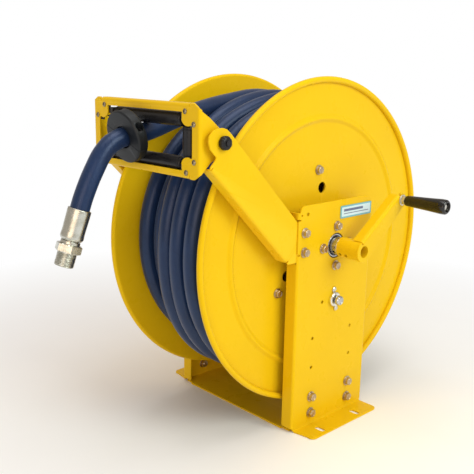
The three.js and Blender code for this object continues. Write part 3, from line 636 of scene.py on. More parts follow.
def hex_solid(rows, flats, origin, axis, material, bore=0.0, turn=0.0, segments=72):
    """Hexagonal bar. Rows are (along, radius): the hexagon is cut by a circle there."""
    place = axis_placer(origin, axis)
    angles = [2 * math.pi * i / segments for i in range(segments)]
    verts = []
    for along, radius in rows:
        for t in angles:
            hex_radius = flats / 2 / math.cos((t % (math.pi / 3)) - math.pi / 6)
            verts.append(place(along, t + turn, min(hex_radius, radius)))
    last = len(rows) - 1
    faces = [quad(k, k + 1, i, segments) for k in range(last) for i in range(segments)]
    if bore > 0:
        for along in (rows[-1][0], rows[0][0]):
            verts += [place(along, t + turn, bore) for t in angles]
        for i in range(segments):
            faces += [quad(last, last + 1, i, segments), quad(last + 1, last + 2, i, segments),
                      quad(last + 2, 0, i, segments)]
    else:
        faces += [tuple(range(segments)), tuple(last * segments + i for i in range(segments))]
    return mesh_object("hex", verts, faces, material, 24.0)


def tube(name, points, radius, material, sides):
    """Round capped tube along a polyline, with UVs in metres (u round, v along)."""
    points = np.asarray(points, float)
    tangents = np.gradient(points, axis=0)
    tangents /= np.linalg.norm(tangents, axis=1)[:, None]
    normal = np.array([1.0, 0, 0])
    if abs(tangents[0] @ normal) > 0.9:
        normal = np.array([0, 0, 1.0])
    lengths = [0.0]
    for a, b in zip(points, points[1:]):
        lengths.append(lengths[-1] + np.linalg.norm(b - a))
    verts, faces, uvs = [], [], []
    for point, tangent in zip(points, tangents):
        normal = normal - (normal @ tangent) * tangent
        normal /= np.linalg.norm(normal)
        binormal = np.cross(tangent, normal)
        for k in range(sides):
            a = 2 * math.pi * k / sides
            verts.append(point + radius * (math.cos(a) * normal + math.sin(a) * binormal))
    girth = 2 * math.pi * radius * MM
    for i in range(len(points) - 1):
        v0, v1 = lengths[i] * MM, lengths[i + 1] * MM
        for k in range(sides):
            faces.append(quad(i, i + 1, k, sides))
            u0, u1 = girth * k / sides, girth * (k + 1) / sides
            uvs += [(u0, v0), (u1, v0), (u1, v1), (u0, v1)]
    last = (len(points) - 1) * sides
    faces += [tuple(range(sides)), tuple(last + k for k in range(sides))]
    uvs += [(0, 0)] * (2 * sides)
    return mesh_object(name, verts, faces, material, 50.0, uvs)


def resample(points, step):
    """Centripetal smooth curve through points, sampled evenly."""
    points = np.asarray(points, float)
    padded = np.vstack([2 * points[0] - points[1], points, 2 * points[-1] - points[-2]])
    curve = []

    def between(a, b, start, end, at):
        return (end - at) / (end - start) * a + (at - start) / (end - start) * b

    for i in range(1, len(padded) - 2):
        p = padded[i - 1 : i + 3]
        t = [0.0]
        for a, b in zip(p, p[1:]):
            t.append(t[-1] + max(np.linalg.norm(b - a), 1e-6) ** 0.5)
        for at in np.linspace(t[1], t[2], 40, endpoint=False):
            a1, a2, a3 = (between(p[k], p[k + 1], t[k], t[k + 1], at) for k in range(3))
            b1 = between(a1, a2, t[0], t[2], at)
            b2 = between(a2, a3, t[1], t[3], at)
            curve.append(between(b1, b2, t[1], t[2], at))
    curve.append(points[-1])
    curve = np.array(curve)
    steps = np.linalg.norm(np.diff(curve, axis=0), axis=1)
    lengths = np.concatenate([[0], np.cumsum(steps)])
    at = np.linspace(0, lengths[-1], max(2, int(lengths[-1] / step)))
    return np.stack([np.interp(at, lengths, curve[:, k]) for k in range(3)], 1)


# ---- folded sheet ---------------------------------------------------------------
FOLD_RADIUS = 2.0  # inner radius of the folds in the 3 mm sheet
FOLD_REACH = FOLD_RADIUS + SHEET  # from the fold line to the outer face of the folded part


def fold_arc(radius, thickness):
    """Flat length used up by a right-angle fold"""
    return (radius + thickness / 2) * math.pi / 2


FOLD_ARC = fold_arc(FOLD_RADIUS, SHEET)


class Sheet:
    """Plate laid out flat in (u, v), from w0 to w1 thick, with rounded edges."""

    def __init__(self, outline, holes, w0, w1, bevel=0.45):
        self.w0, self.w1 = w0, w1
        curve = bpy.data.curves.new("tmp", "CURVE")
        curve.dimensions = "2D"
        curve.fill_mode = "BOTH"
        curve.extrude = (w1 - w0) / 2 - bevel
        curve.bevel_depth = bevel
        curve.bevel_resolution = 2
        curve.offset = -bevel
        for loop in [outline, *holes]:
            spline = curve.splines.new("POLY")
            spline.points.add(len(loop) - 1)
            for point, (u, v) in zip(spline.points, loop):
                point.co = (u, v, 0, 1)
            spline.use_cyclic_u = True
        obj = bpy.data.objects.new("tmp", curve)
        SCENE.collection.objects.link(obj)
        mesh = evaluated_mesh(obj)
        bpy.data.objects.remove(obj)
        bpy.data.curves.remove(curve)
        self.bm = bmesh.new()
        self.bm.from_mesh(mesh)
        bpy.data.meshes.remove(mesh)
        bmesh.ops.remove_doubles(self.bm, verts=self.bm.verts, dist=1e-4)
        bmesh.ops.translate(self.bm, verts=self.bm.verts, vec=(0, 0, (w0 + w1) / 2))

    def fold(self, axis, line, side, toward, radius=FOLD_RADIUS, where=None, steps=7):
        """Folds what lies past line (on the given side along axis 0 or 1) toward +w or -w.

        where tests the other coordinate and limits the fold to part of the line.
        """
        bm = self.bm
        neutral = radius + (self.w1 - self.w0) / 2
        quarter = math.pi / 2
        for i in range(steps + 1):
            at = Vector((0, 0, 0))
            at[axis] = line + side * neutral * quarter * i / steps
            geometry = bm.verts[:] + bm.edges[:] + bm.faces[:]
            bmesh.ops.bisect_plane(bm, geom=geometry, dist=1e-5, plane_co=at,
                                   plane_no=Vector((1 - axis, axis, 0)))
        centre = self.w1 + radius if toward > 0 else self.w0 - radius
        for vert in bm.verts:
            past = side * (vert.co[axis] - line)
            if past <= 0 or (where and not where(vert.co[1 - axis])):
                continue
            r = toward * (centre - vert.co[2])
            turn = min(past / neutral, quarter)
            beyond = max(0.0, past - neutral * quarter)
            vert.co[axis] = line + side * r * math.sin(turn)
            vert.co[2] = centre - toward * r * math.cos(turn) + toward * beyond

    def build(self, name, to_world, material, side=1):
        """to_world turns arrays u, v, w into x, y, z; side -1 mirrors the result in X."""
        points = np.array([vert.co for vert in self.bm.verts], float)
        points = np.stack(to_world(*points.T), 1) * (side, 1, 1) * MM
        for vert, point in zip(self.bm.verts, points):
            vert.co = point
        bmesh.ops.recalc_face_normals(self.bm, faces=self.bm.faces)
        mesh = bpy.data.meshes.new(name)
        self.bm.to_mesh(mesh)
        self.bm.free()
        return weighted(finish_mesh(name, mesh, material, 32.0))


def facing_x(u, v, w):
    return w, u, v


# ---- pedestals and tray ---------------------------------------------------------
# places are (y, z)
BEARING_BOLTS = around_shaft(38, (0, 90, 180, 270))
BASE_BOLTS = [(-55, 60.5), (55, 60.5), (-55, 27.3), (55, 27.3)]
ARM_BOLTS = [(-90, 387), (-90, 351)]
# y, z, radius of the small holes in each web
SMALL_HOLES = (
    (-82.4, 419.6, 3.3), (-98.5, 419.0, 2.0), (56, 178, 3.2), (-56, 178, 3.2),
    (56, 120, 3.2), (-56, 120, 3.2), (-32, LOCK_Z, 3.2),
)


def foot_height(x):
    """Place in the flat of a point of the outward foot at x"""
    return FOLD_REACH - FOLD_ARC - (x - WEB_INNER_X - FOLD_REACH)


def foot_slot(y, x, length=22, width=11):
    z = foot_height(x)
    reach, radius = length / 2 - width / 2, width / 2
    loop = arc(z + reach, y, radius, -90, 90, 8) + arc(z - reach, y, radius, 90, 270, 8)
    return [(v, u) for u, v in loop][::-1]


def pedestal(side_name, side):
    """Web with flanges folded inwards front and back, and a foot folded outwards."""
    crease = UPRIGHT_HALF - FOLD_REACH
    edge = crease + FOLD_ARC + (WEB_OUTER_X - FLANGE_INNER_X - FOLD_REACH)
    foot = foot_height(FOOT_OUTER_X)
    shoulder = UPRIGHT_TOP - 12
    # y, z, corner radius in the flat: foot and back flange
    outline = rounded([
        (-101.5, foot, 10), (101.5, foot, 10), (101.5, 3.5, 0.8), (crease + 1.2, 3.5, 0.8),
        (crease + 1.2, 7.5, 0.8), (edge, 7.5, 3), (edge, shoulder, 3),
        (crease + 0.2, shoulder, 0),
    ], 5)
    outline += arc(crease + 0.2 - 12, shoulder, 12, 0, 90, 8)
    outline += arc(-crease - 0.2 + 12, shoulder, 12, 90, 180, 8)
    # front flange, with a gap where the guide arm is bolted on
    outline += rounded([
        (-crease - 0.2, shoulder, 0), (-edge, shoulder, 2), (-edge, 412, 2),
        (-crease + 1.5, 412, 0.8), (-crease + 1.5, 409.4, 0.8), (-UPRIGHT_HALF, 409.4, 0.6),
        (-UPRIGHT_HALF, 348.8, 0.6), (-crease + 1.5, 348.8, 0.8), (-crease + 1.5, 345, 0.8),
        (-edge, 345, 3), (-edge, 7.5, 3), (-crease - 1.2, 7.5, 0.8), (-crease - 1.2, 3.5, 0.8),
        (-101.5, 3.5, 0.8),
    ])
    holes = [circle(0, AXIS_Z, 24, 56)]
    holes += [circle(y, z, 4.5, 20) for y, z in BEARING_BOLTS + ARM_BOLTS]
    holes += [circle(y, z, 5, 20) for y, z in BASE_BOLTS]
    holes += [circle(0, LOCK_Z, 8.5, 28)]
    holes += [circle(y, z, radius, 18) for y, z, radius in SMALL_HOLES]
    holes += [foot_slot(y, x=188) for y in (-55, 51)]
    sheet = Sheet(without_repeats(outline, 0.02), holes, WEB_INNER_X, WEB_OUTER_X)
    sheet.fold(0, crease, 1, -1, where=lambda z: z > 4.5)
    sheet.fold(0, -crease, -1, -1, where=lambda z: 4.5 < z < 347 or z > 410.6)
    sheet.fold(1, FOLD_REACH, -1, 1)
    obj = sheet.build("pedestal_" + side_name, facing_x, PAINT, side)
    # slit in the front flange where the guide arm runs through
    x_span = sorted((side * (ARM_INNER_X - 0.5), side * (WEB_INNER_X - 0.02)))
    y_span = (-UPRIGHT_HALF - 2, -UPRIGHT_HALF + 3.6)
    corners = [(x, y, z) for x in x_span for y in y_span for z in (330.5, 347)]
    faces = [(0, 1, 3, 2), (4, 6, 7, 5), (0, 4, 5, 1), (2, 3, 7, 6), (0, 2, 6, 4), (1, 5, 7, 3)]
    cut(obj, mesh_object("slit", corners, faces, PAINT, angle=None))
    reshade(obj)
    weighted(obj)
    attach(obj, "frame", "upright_" + side_name, slot="yellow_paint")


def floor_tray():
    """Tray between the pedestals, its ends folded up inside the webs."""
    crease = TRAY_OUTER_X - FOLD_REACH
    edge = crease + FOLD_ARC + 70
    # x, y, corner radius of the crank end in the flat; half a turn gives the other end
    end = [
        (133.5, -UPRIGHT_HALF, 1.5), (133.5, -103, 0.8), (crease - 0.5, -103, 2),
        (crease - 0.5, -92.5, 0.8), (crease - 2, -92.5, 0.8), (crease - 2, -90, 0.8),
        (edge, -90, 7), (edge, 90, 7), (crease - 2, 90, 0.8), (crease - 2, 92.5, 0.8),
        (crease - 0.5, 92.5, 0.8), (crease - 0.5, 103, 2), (133.5, 103, 0.8),
        (133.5, UPRIGHT_HALF, 1.5),
    ]
    outline = rounded(end + [(-x, -y, radius) for x, y, radius in end])
    holes = [circle(side * (crease + FOLD_ARC + z - FOLD_REACH), y, 5, 20)
             for y, z in BASE_BOLTS for side in (1, -1)]
    sheet = Sheet(outline, holes, 0, SHEET)
    for side in (1, -1):
        sheet.fold(0, side * crease, side, 1, where=lambda y: abs(y) < 91)
    obj = sheet.build("floor_tray", lambda u, v, w: (u, v, w), PAINT)
    attach(obj, "frame", "base_tray", slot="yellow_paint")


# ---- bolts ----------------------------------------------------------------------
def bolt(name, place, face, side, body, size, nodes=(), nut_face=None, turn=0.0):
    """Hex bolt along X: washers and head on face, nut behind nut_face if given.

    size is (shank radius, across flats, head height); side is the X sign of the head.
    """
    radius, flats, head = size
    y, z = place
    start = face + 0.3 * side
    origin, out, back = (start, y, z), (side, 0, 0), (-side, 0, 0)
    head_rows = [(0, flats * 0.54), (0.5, flats * 0.6), (head * 0.72, flats * 0.6),
                 (head * 0.92, flats * 0.53), (head, flats * 0.46), (head, flats * 0.36),
                 (head - 0.35, flats * 0.33)]
    parts = [
        lathe(ring(0, 1.5, radius * 0.6, flats * 0.72, (0.3, 0.4)), origin, out, ZINC_WARM, 40),
        lathe(ring(1.5, 2.9, radius * 0.6, flats * 0.55, (0.3, 0.4)), origin, out, ZINC_WARM, 40),
        hex_solid(head_rows, flats, (start + 2.9 * side, y, z), out, ZINC_WARM, turn=turn),
    ]
    if nut_face is not None:
        inner = nut_face - 0.3 * side
        origin = (inner, y, z)
        washer = ring(0, 1.4, radius * 0.6, flats * 0.70, (0.3, 0.4))
        nut_rows = [(0, flats * 0.53), (0.5, flats * 0.6), (5.6, flats * 0.6), (6.2, flats * 0.52)]
        shank = ring(0, abs(face - nut_face) + 1.5, 0, radius - 0.2)
        parts += [
            lathe(washer, origin, back, ZINC_WARM, 40),
            hex_solid(nut_rows, flats, (inner - 1.4 * side, y, z), back, ZINC_WARM,
                      bore=radius, turn=turn * 1.7 + 0.3),
            lathe(ring(0, 10.5, 0, radius - 0.4, (0, 0.5)), origin, back, ZINC_WARM, 28),
            lathe(shank, origin, out, ZINC_WARM, 20),
        ]
    attach(join(name, *parts), body, *nodes, slot="zinc_plate")


# kind, places, size, |x| of the nut face, first number,
# then head turns (start, step) on the crank side and on the inlet side
BOLT_SETS = (
    ("base", BASE_BOLTS, (5, 14, 6), TRAY_OUTER_X - SHEET, 1, (0, 0.4), (0, 0.7)),
    ("arm", ARM_BOLTS, (4.4, 13, 5.6), ARM_INNER_X, 1, (0.5, 0.6), (0.2, 0.6)),
    ("bearing", BEARING_BOLTS, (4.4, 13, 5.6), 149.3, 0, (0.2, 0.35), (0, 0.9)),
)


def pedestal_bolts():
    """The crank side bolts stand for CAD nodes; the inlet side has none."""
    for kind, places, size, nut_x, first, *turns in BOLT_SETS:
        for i, place in enumerate(places):
            number = i + first
            # the CAD numbers the bearing bolts 4, 1, 2, 3
            nodes = ("%s_bolt_%d" % (kind, number or 4),)
            for side, label, side_nodes, (start, step) in (
                (1, "hex", nodes, turns[0]), (-1, "inlet_hex", (), turns[1])
            ):
                bolt("%s_bolt_%s_%d" % (kind, label, number), place, side * WEB_OUTER_X, side,
                     "frame", size, side_nodes, side * nut_x, start + step * i)


# ---- guide arms -----------------------------------------------------------------
SQRT2 = math.sqrt(2)


def arm_uv(y, z, *radius):
    """The arm is laid out at 45 degrees: u runs to +Y+Z, v to -Y+Z, along the arm."""
    return ((y + z) / SQRT2, (z - y) / SQRT2, *radius)


def guide_arm(side_name, side):
    """Arm rising to the front, with a flange folded inwards along its lower edge."""
    u_out = 204.6 / SQRT2
    crease = u_out + FOLD_REACH
    flange_x = cad_box("guide_arm_" + side_name)[0 if side > 0 else 1][0] * side
    tip = crease - FOLD_ARC - (ARM_OUTER_X - flange_x - FOLD_REACH)
    v0, v1 = (337.6 + 133) / SQRT2, (515.6 + 311) / SQRT2
    # y, z, corner radius up the back edge and round the pivot end
    outline = [arm_uv(*point) for point in (
        (-62, 332, 4), (-62, 400, 4), (-98, 400, 3), (-107, 408, 3), (-270, 571, 4),
        (-279, 578.5, 3), (-288, 581, 4), (-298, 580.3, 4), (-308, 577, 5), (-316, 569, 5),
        (-317, 560, 4), (-313.5, 549, 4), (-306, 541, 3), (-300, 536, 3), (-303, 531, 2),
        (-312, 521.5, 2), (-313, 517.5, 1.5),
    )]
    # u, v, corner radius of the flange
    outline += [
        (u_out, v1 + 1.8, 0.6), (crease + 1, v1 + 1.8, 0.6), (crease + 1, v1, 0.8),
        (tip, v1, 4), (tip, v0, 4), (crease + 1, v0, 0.8), (crease + 1, v0 - 2.6, 0.8),
        (u_out + 0.6, v0 - 2.6, 0.8), arm_uv(-128, 334, 2),
    ]
    holes = [circle(*arm_uv(*PIVOT), 5.6, 28)]
    holes += [circle(*arm_uv(y, z), 4.5, 20) for y, z in ARM_BOLTS]
    sheet = Sheet(rounded(outline), holes, ARM_INNER_X, ARM_OUTER_X)
    sheet.fold(0, crease, -1, -1, where=lambda v: v0 - 1.5 < v < v1 + 0.9)
    obj = sheet.build("arm_" + side_name,
                      lambda u, v, w: (w, (u - v) / SQRT2, (u + v) / SQRT2), PAINT, side)
    attach(obj, "frame", "guide_arm_" + side_name, slot="yellow_paint")


# ---- bearings -------------------------------------------------------------------
def grub_screw(x, direction, start, end, floor, radius, socket, name="part"):
    """Socket screw pointing out from the shaft; floor is the bottom of its socket."""
    profile = [(start, 0), (start, radius), (end, radius, 0.4), (end, socket, 0.2),
               (floor, socket), (floor, 0)]
    return lathe(profile, (x, 0, AXIS_Z), direction, NYLON, 28, name=name)


def shaft_collar():
    """Collar outside the crank side bearing, with its grub screw."""
    screw_x, direction = 167.8, radial(209)
    end = cad_box("bearing_ring_crank_side")[1][0]
    collar = lathe(ring(160.8, end, 13.2, 17.5, (0.9, 0.9)), SHAFT, ALONG_X, TURNED, 72)
    cut(collar, lathe(ring(12, 24, 0, 2.9), (screw_x, 0, AXIS_Z), direction, NYLON, 28))
    reshade(collar)
    grub = grub_screw(screw_x, direction, start=13.3, end=16.6, floor=14.6, radius=2.7, socket=1.5)
    return join("collar_set", collar, grub)


def bearing(side_name, side):
    axis = (side, 0, 0)
    back = WEB_INNER_X - 0.4
    block = lathe(
        [(135, 22.5, 0.6), (135, 29.2, 1.2), (148.6, 29.2, 1.0), (149.3, 31, 0.5),
         (149.3, 49, 1.0), (back, 49, 0.6), (back, 22.5, 0.6)],
        SHAFT, axis, CAST, 72, name="bearing_block_" + side_name,
    )
    attach(block, "frame", "bearing_housing_" + side_name, slot="bearing_casting")
    bore, radius = (13.2, 16.2) if side > 0 else (17.6, 19.4)
    parts = [
        lathe(ring(134, 161.2, bore, radius, (0.5, 0.8), (0, 0.4)), SHAFT, axis, TURNED),
        lathe(ring(136, 159.6, 19.6, 22.0, (0.4, 0.6), (0, 0.4)), SHAFT, axis, TURNED),
        lathe([(138, 15.8), (138, 19.9), (158.9, 19.9), (158.4, 15.8)], SHAFT, axis, NYLON),
    ]
    if side > 0:
        parts.append(shaft_collar())
    races = join("bearing_race_" + side_name, *parts)
    attach(races, "reel", "bearing_ring_" + side_name, slot="bare_steel")


# ---- discs, drum and shaft ------------------------------------------------------
DISC_SHEET = 2.5
LOCK_HOLES = around_shaft(105, (30, 90, 150, 210, 270, 330))
DISC_BOLTS = around_shaft(140, (95, 215, 335))


def disc_profile():
    """(x, r) of the disc: a bead embossed outwards and the rim rolled into a tube."""
    bead_radius, bead_half, bead_height = 234, 9.0, 4.2
    roll = 5.65
    outer, inner = [], []
    spans = [np.linspace(18, 214, 8), np.linspace(218, 250, 33), np.linspace(254, 292, 6)]
    for r in np.concatenate(spans):
        q = min(abs(r - bead_radius) / bead_half, 1.0)
        bead = bead_height * 0.5 * (1 + math.cos(math.pi * q))
        outer.append((DISC_INNER_X + DISC_SHEET + bead, r))
        inner.append((DISC_INNER_X + max(0.0, bead - 0.3), r))
    # the outer skin runs into the roll, which curls outwards and back to the sheet
    rim = [(DISC_OUTER_X - roll + roll * math.cos(math.radians(a)),
            DISC_RADIUS - roll + roll * math.sin(math.radians(a)))
           for a in np.concatenate([np.linspace(-118, 118, 26), np.linspace(124, 178, 7)])]
    return (outer + [(DISC_INNER_X + DISC_SHEET, 296.5)] + rim
            + [(DISC_INNER_X, 299.5)] + inner[::-1])


def flange_disc(side_name, side):
    axis = (side, 0, 0)
    disc = lathe(disc_profile(), SHAFT, axis, PAINT, 240, 40, name="flange_disc_" + side_name)
    cutters = [
        lathe(ring(DISC_INNER_X - 4, DISC_INNER_X + 8, 0, radius), (0, y, z), axis, PAINT, count)
        for places, radius, count in ((LOCK_HOLES, 10.5, 48), (DISC_BOLTS, 4.5, 24))
        for y, z in places
    ]
    cut(disc, join("cuts", *cutters))
    reshade(disc, 40)
    weighted(disc)
    attach(disc, "reel", "disc_" + side_name, slot="yellow_paint")
    for i, place in enumerate(DISC_BOLTS):
        bolt("disc_bolt_%s_%d" % (side_name, i + 1), place, side * (DISC_INNER_X + DISC_SHEET),
             side, "reel", (4.2, 13, 4.6), turn=0.5 * i)


def drum():
    """CAD pieces inside the reel, kept and given a material and softened edges."""
    for node, material in (
        ("drum_barrel", PAINT), ("drum_end_plate_crank_side", PAINT),
        ("drum_end_plate_inlet_side", PAINT), ("outlet_riser", BRASS),
    ):
        obj = frame["nodes"][node]
        obj.data.materials.clear()
        obj.data.materials.append(material)
        edge_bevel(obj, width=0.0004, angle=50)


def shaft():
    lo, hi = cad_box("reel_shaft")
    start, end = lo[0], hi[0]
    obj = lathe(
        [(start, 0), (start, 11.5), (start, 16.9, 0.8), (128, 16.9, 1.5), (130, 12.6, 0.5),
         (174.4, 12.6, 0.6), (175.2, 10.6, 0.3), (end - 2, 10.6, 1.4), (end - 2, 6.0, 0.5),
         (end - 3.2, 4.6, 0.3), (end - 3.2, 0)],
        SHAFT, ALONG_X, TURNED, name="shaft_turned",
    )
    attach(obj, "reel", "reel_shaft", slot="bare_steel")


# ---- crank ----------------------------------------------------------------------
hub_lo, hub_hi = cad_box("crank_hub")
HUB_START, HUB_END = hub_lo[0], hub_hi[0]
HUB_BORE = 10.9
SET_SCREWS_X = (183.5, 197)
SET_SCREW_DIRECTION = radial(214)
GRIP_AXIS = (0, *CRANK)


def crank_hub():
    profile = ring(HUB_START, HUB_END + 0.25, HUB_BORE, 19, (0.8, 0.2), (0.5, 0.2))
    hub = lathe(profile, SHAFT, ALONG_X, PAINT, 80, name="crank_tube")
    cutters = [lathe(ring(8, 24, 0, 3.4), (x, 0, AXIS_Z), SET_SCREW_DIRECTION, NYLON, 28)
               for x in SET_SCREWS_X]
    cut(hub, join("cuts", *cutters))
    reshade(hub)
    weighted(hub)
    attach(hub, "reel", "crank_hub", slot="yellow_paint")
    for i, x in enumerate(SET_SCREWS_X):
        screw = grub_screw(x, SET_SCREW_DIRECTION, start=HUB_BORE, end=16.0, floor=13.6,
                           radius=3.15, socket=1.7, name="hub_set_screw_%d" % (i + 1))
        attach(screw, "reel", slot="zinc_plate")


def crank_lever():
    """Tapered lever with round ends and a lip folded toward the reel on its upper edge.

    Laid out with the hub at the origin and u along the upper edge.
    """
    hub_radius, tip_radius = 20, 14
    thickness, fold_radius = 4.0, 2.0
    y, z = CRANK[0], CRANK[1] - AXIS_Z
    length = math.hypot(y, z)
    taper = math.asin((hub_radius - tip_radius) / length)
    slope = math.atan2(z, y) - taper
    cos_slope, sin_slope = math.cos(slope), math.sin(slope)
    tip_u, tip_v = length * math.cos(taper), length * math.sin(taper)
    crease = hub_radius - (fold_radius + thickness)
    lip = (crease + fold_arc(fold_radius, thickness)
           + (LEVER_OUTER_X - LEVER_INNER_X - thickness - fold_radius))
    lean = math.degrees(2 * taper)
    outline = arc(tip_u, tip_v, tip_radius, -90 + lean, 78, 13)
    # u, v, corner radius of the lip and the reliefs at its ends
    outline += rounded([
        (tip_u + 2.8, 19.8, 0), (tip_u + 2.4, 19.9, 0), (tip_u + 1, 15.0, 0.6),
        (tip_u - 1.4, 15.0, 0.6), (tip_u - 1.4, lip, 4), (5.6, lip, 3), (5.6, 13.4, 0.6),
        (3.4, 13.4, 0.6), (3.4, 19.7, 0.4), (1.5, 19.94, 0),
    ])
    outline += arc(0, 0, hub_radius, 92, 270 + lean, 25)
    holes = [circle(0, 0, HUB_BORE, 48), circle(tip_u, tip_v, 5.2, 24)]
    sheet = Sheet(without_repeats(outline, 0.05), holes, LEVER_OUTER_X - thickness,
                  LEVER_OUTER_X, bevel=0.6)
    sheet.fold(1, crease, 1, -1, fold_radius, where=lambda u: 4.6 < u < tip_u - 0.2)
    lever = sheet.build(
        "crank_lever",
        lambda u, v, w: (w, u * cos_slope - v * sin_slope, AXIS_Z + u * sin_slope + v * cos_slope),
        PAINT,
    )
    # room for the hub tube
    cut(lever, lathe(ring(150, HUB_END + 0.2, 0, 19.5), SHAFT, ALONG_X, PAINT, 80))
    reshade(lever)
    weighted(lever)
    attach(lever, "reel", "crank_arm", slot="yellow_paint")


def crank_grip():
    face, end = LEVER_OUTER_X, GRIP_END
    y, z = CRANK
    start = cad_box("grip_spindle")[0][0]
    end_cap = [(end - 7.6, 0), (end - 7.6, 7.0, 0.4), (end - 4.6, 7.0, 1.2),
               (end - 3.4, 4.6, 1.5), (end - 3.4, 0)]
    spindle = join(
        "grip_spindle_bolt",
        lathe(ring(face + 0.3, face + 2.2, 4, 10.4, (0.4, 0.5)), GRIP_AXIS, ALONG_X, ZINC, 48),
        hex_solid([(0, 8.2), (0.5, 9), (5.9, 9), (6.6, 8.1)], 15.0, (face + 2.2, y, z),
                  ALONG_X, ZINC, bore=4.6),
        lathe(ring(start, end - 7.5, 0, 4.8, (0.5, 0)), GRIP_AXIS, ALONG_X, ZINC, 32),
        hex_solid([(0, 8.2), (0.5, 9), (4.4, 9), (5.1, 8.1)], 15.0, (face - 4.3, y, z),
                  (-1, 0, 0), ZINC, bore=4.6),
        lathe(end_cap, GRIP_AXIS, ALONG_X, ZINC, 40),
    )
    attach(spindle, "reel", "grip_spindle", slot="zinc_plate")
    start = GRIP_START
    grip = lathe(
        [(start, 5.4), (start, 8.6, 0.8), (start + 2.2, 10.0, 2), (start + 22, 10.8, 30),
         (start + 52, 12.4, 30), (end - 12, 13.9, 14), (end - 2.6, 13.6, 3.5), (end, 10.9, 1.6),
         (end, 8.4, 0.8), (end - 8, 7.9), (end - 8, 5.4)],
        GRIP_AXIS, ALONG_X, GRIP, 72, angle=50, name="grip_handle",
    )
    attach(grip, "crank_grip", "crank_grip", slot="black_grip")


# ---- reel lock ------------------------------------------------------------------
def reel_lock():
    """Spring plunger through the crank side web, pulled by a knob along +X."""
    web = WEB_OUTER_X + 0.2
    end = cad_box("lock_housing")[1][0]
    body = join(
        "lock_body",
        lathe([(141, 4.95), (141, 8.1, 0.6), (web, 8.1), (web, 14.2, 0.5), (web + 5.4, 14.2, 0.8),
               (end, 12.4, 1.2), (end, 5.1, 0.6), (end - 3.0, 5.1), (end - 3.0, 6.7),
               (143, 6.7), (143, 4.95)], LOCK, ALONG_X, BRIGHT_ZINC, 72, angle=24),
        hex_solid([(0, 10.8), (0.6, 12.2), (6.4, 12.2), (7.2, 11.2)], 21.0,
                  (150.0, 0, LOCK_Z), ALONG_X, ZINC, bore=8.0, turn=0.1),
    )
    attach(body, "frame", "lock_housing", slot="zinc_plate")

    start, end = (box[0] for box in cad_box("lock_pin"))
    pin = lathe(
        [(start, 0), (start, 3.6), (135.5, 4.9, 0.6), (144.9, 4.9), (145, 6.1, 0.3),
         (146.5, 6.1, 0.3), (146.6, 3.9), (end, 3.9), (end, 0)],
        LOCK, ALONG_X, ZINC, 40, name="lock_plunger",
    )
    attach(pin, "lock", "lock_pin", slot="zinc_plate")

    start, end = knob_lo[0], knob_hi[0]
    knob = lathe(
        [(start, 4.1), (start, 7.6, 0.8), (start + 2.0, 9.3, 1.0), (start + 4.2, 9.6, 1.2),
         (end - 3.2, 9.4, 1.8), (end - 0.8, 7.9, 1.2), (end, 6.2, 0.6), (end - 0.7, 5.2, 0.4),
         (end - 1.0, 0), (end - 2.0, 0), (end - 2.0, 4.1)],
        LOCK, ALONG_X, TURNED, name="lock_pull_knob",
    )
    attach(knob, "lock", "lock_knob", slot="black_grip")


def lock_spring():
    start, end, coil_radius = 147.3, 165.4, 5.5
    steps, steps_per_turn = 240, 30
    path = []
    for i in range(steps + 1):
        a = 2 * math.pi * i / steps_per_turn
        path.append((start + (end - start) * i / steps, coil_radius * math.cos(a),
                     LOCK_Z + coil_radius * math.sin(a)))
    spring = tube("lock_coil_spring", path, 0.5, TURNED, sides=10)
    attach(spring, "frame", "lock_spring", slot="bare_steel")
    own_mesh(spring)


def lock_studs():
    """Two small domed heads on the web, above and below the lock."""
    web = WEB_OUTER_X
    obj = join(
        "lock_clip",
        lathe([(web + 0.3, 0), (web + 0.3, 5.4, 0.4), (web + 2.0, 5.4, 0.5), (web + 3.4, 3.6, 0.8),
               (web + 3.4, 0)], (0, 0, LOCK_Z + 19), ALONG_X, ZINC, 32),
        lathe([(web + 0.3, 0), (web + 0.3, 5.0, 0.4), (web + 2.2, 5.0, 0.7), (web + 4.0, 3.0, 1.0),
               (web + 4.0, 0)], (0, 7, LOCK_Z - 19.5), ALONG_X, ZINC, 32),
    )
    attach(obj, "frame", slot="zinc_plate")


def data_plate():
    (x0, y0, z0), (x1, y1, z1) = PLATE_LO, PLATE_HI
    corners = [(y0, z0, 2.5), (y1, z0, 2.5), (y1, z1, 2.5), (y0, z1, 2.5)]
    obj = Sheet(rounded(corners, 6), [], x0, x1, bevel=0.2).build("blank_plate", facing_x, PLATE)
    attach(obj, "frame", "data_plate", slot="plate_face")


# ---- roller head ----------------------------------------------------------------
HEAD_BACK = HEAD_FRONT + SHEET  # back face of the front plate
EAR_CREASE = HEAD_HALF - FOLD_REACH
EAR_START_Y = HEAD_BACK + FOLD_RADIUS  # where the flat of the folded ears begins
PIVOT_Y, PIVOT_Z = PIVOT
WINDOW_HALF, WINDOW_BOTTOM, WINDOW_TOP = 128.0, 512.0, 604.0
# |x|, z of the bracket screws on each side
HEAD_SCREWS = [(111.5, 605.0), (132.5, 586.0), (133.5, 527.5), (114.5, 509.5)]


def ear_u(y):
    """Flat coordinate of a point at depth y on an ear"""
    return EAR_CREASE + FOLD_ARC + (y - EAR_START_Y)


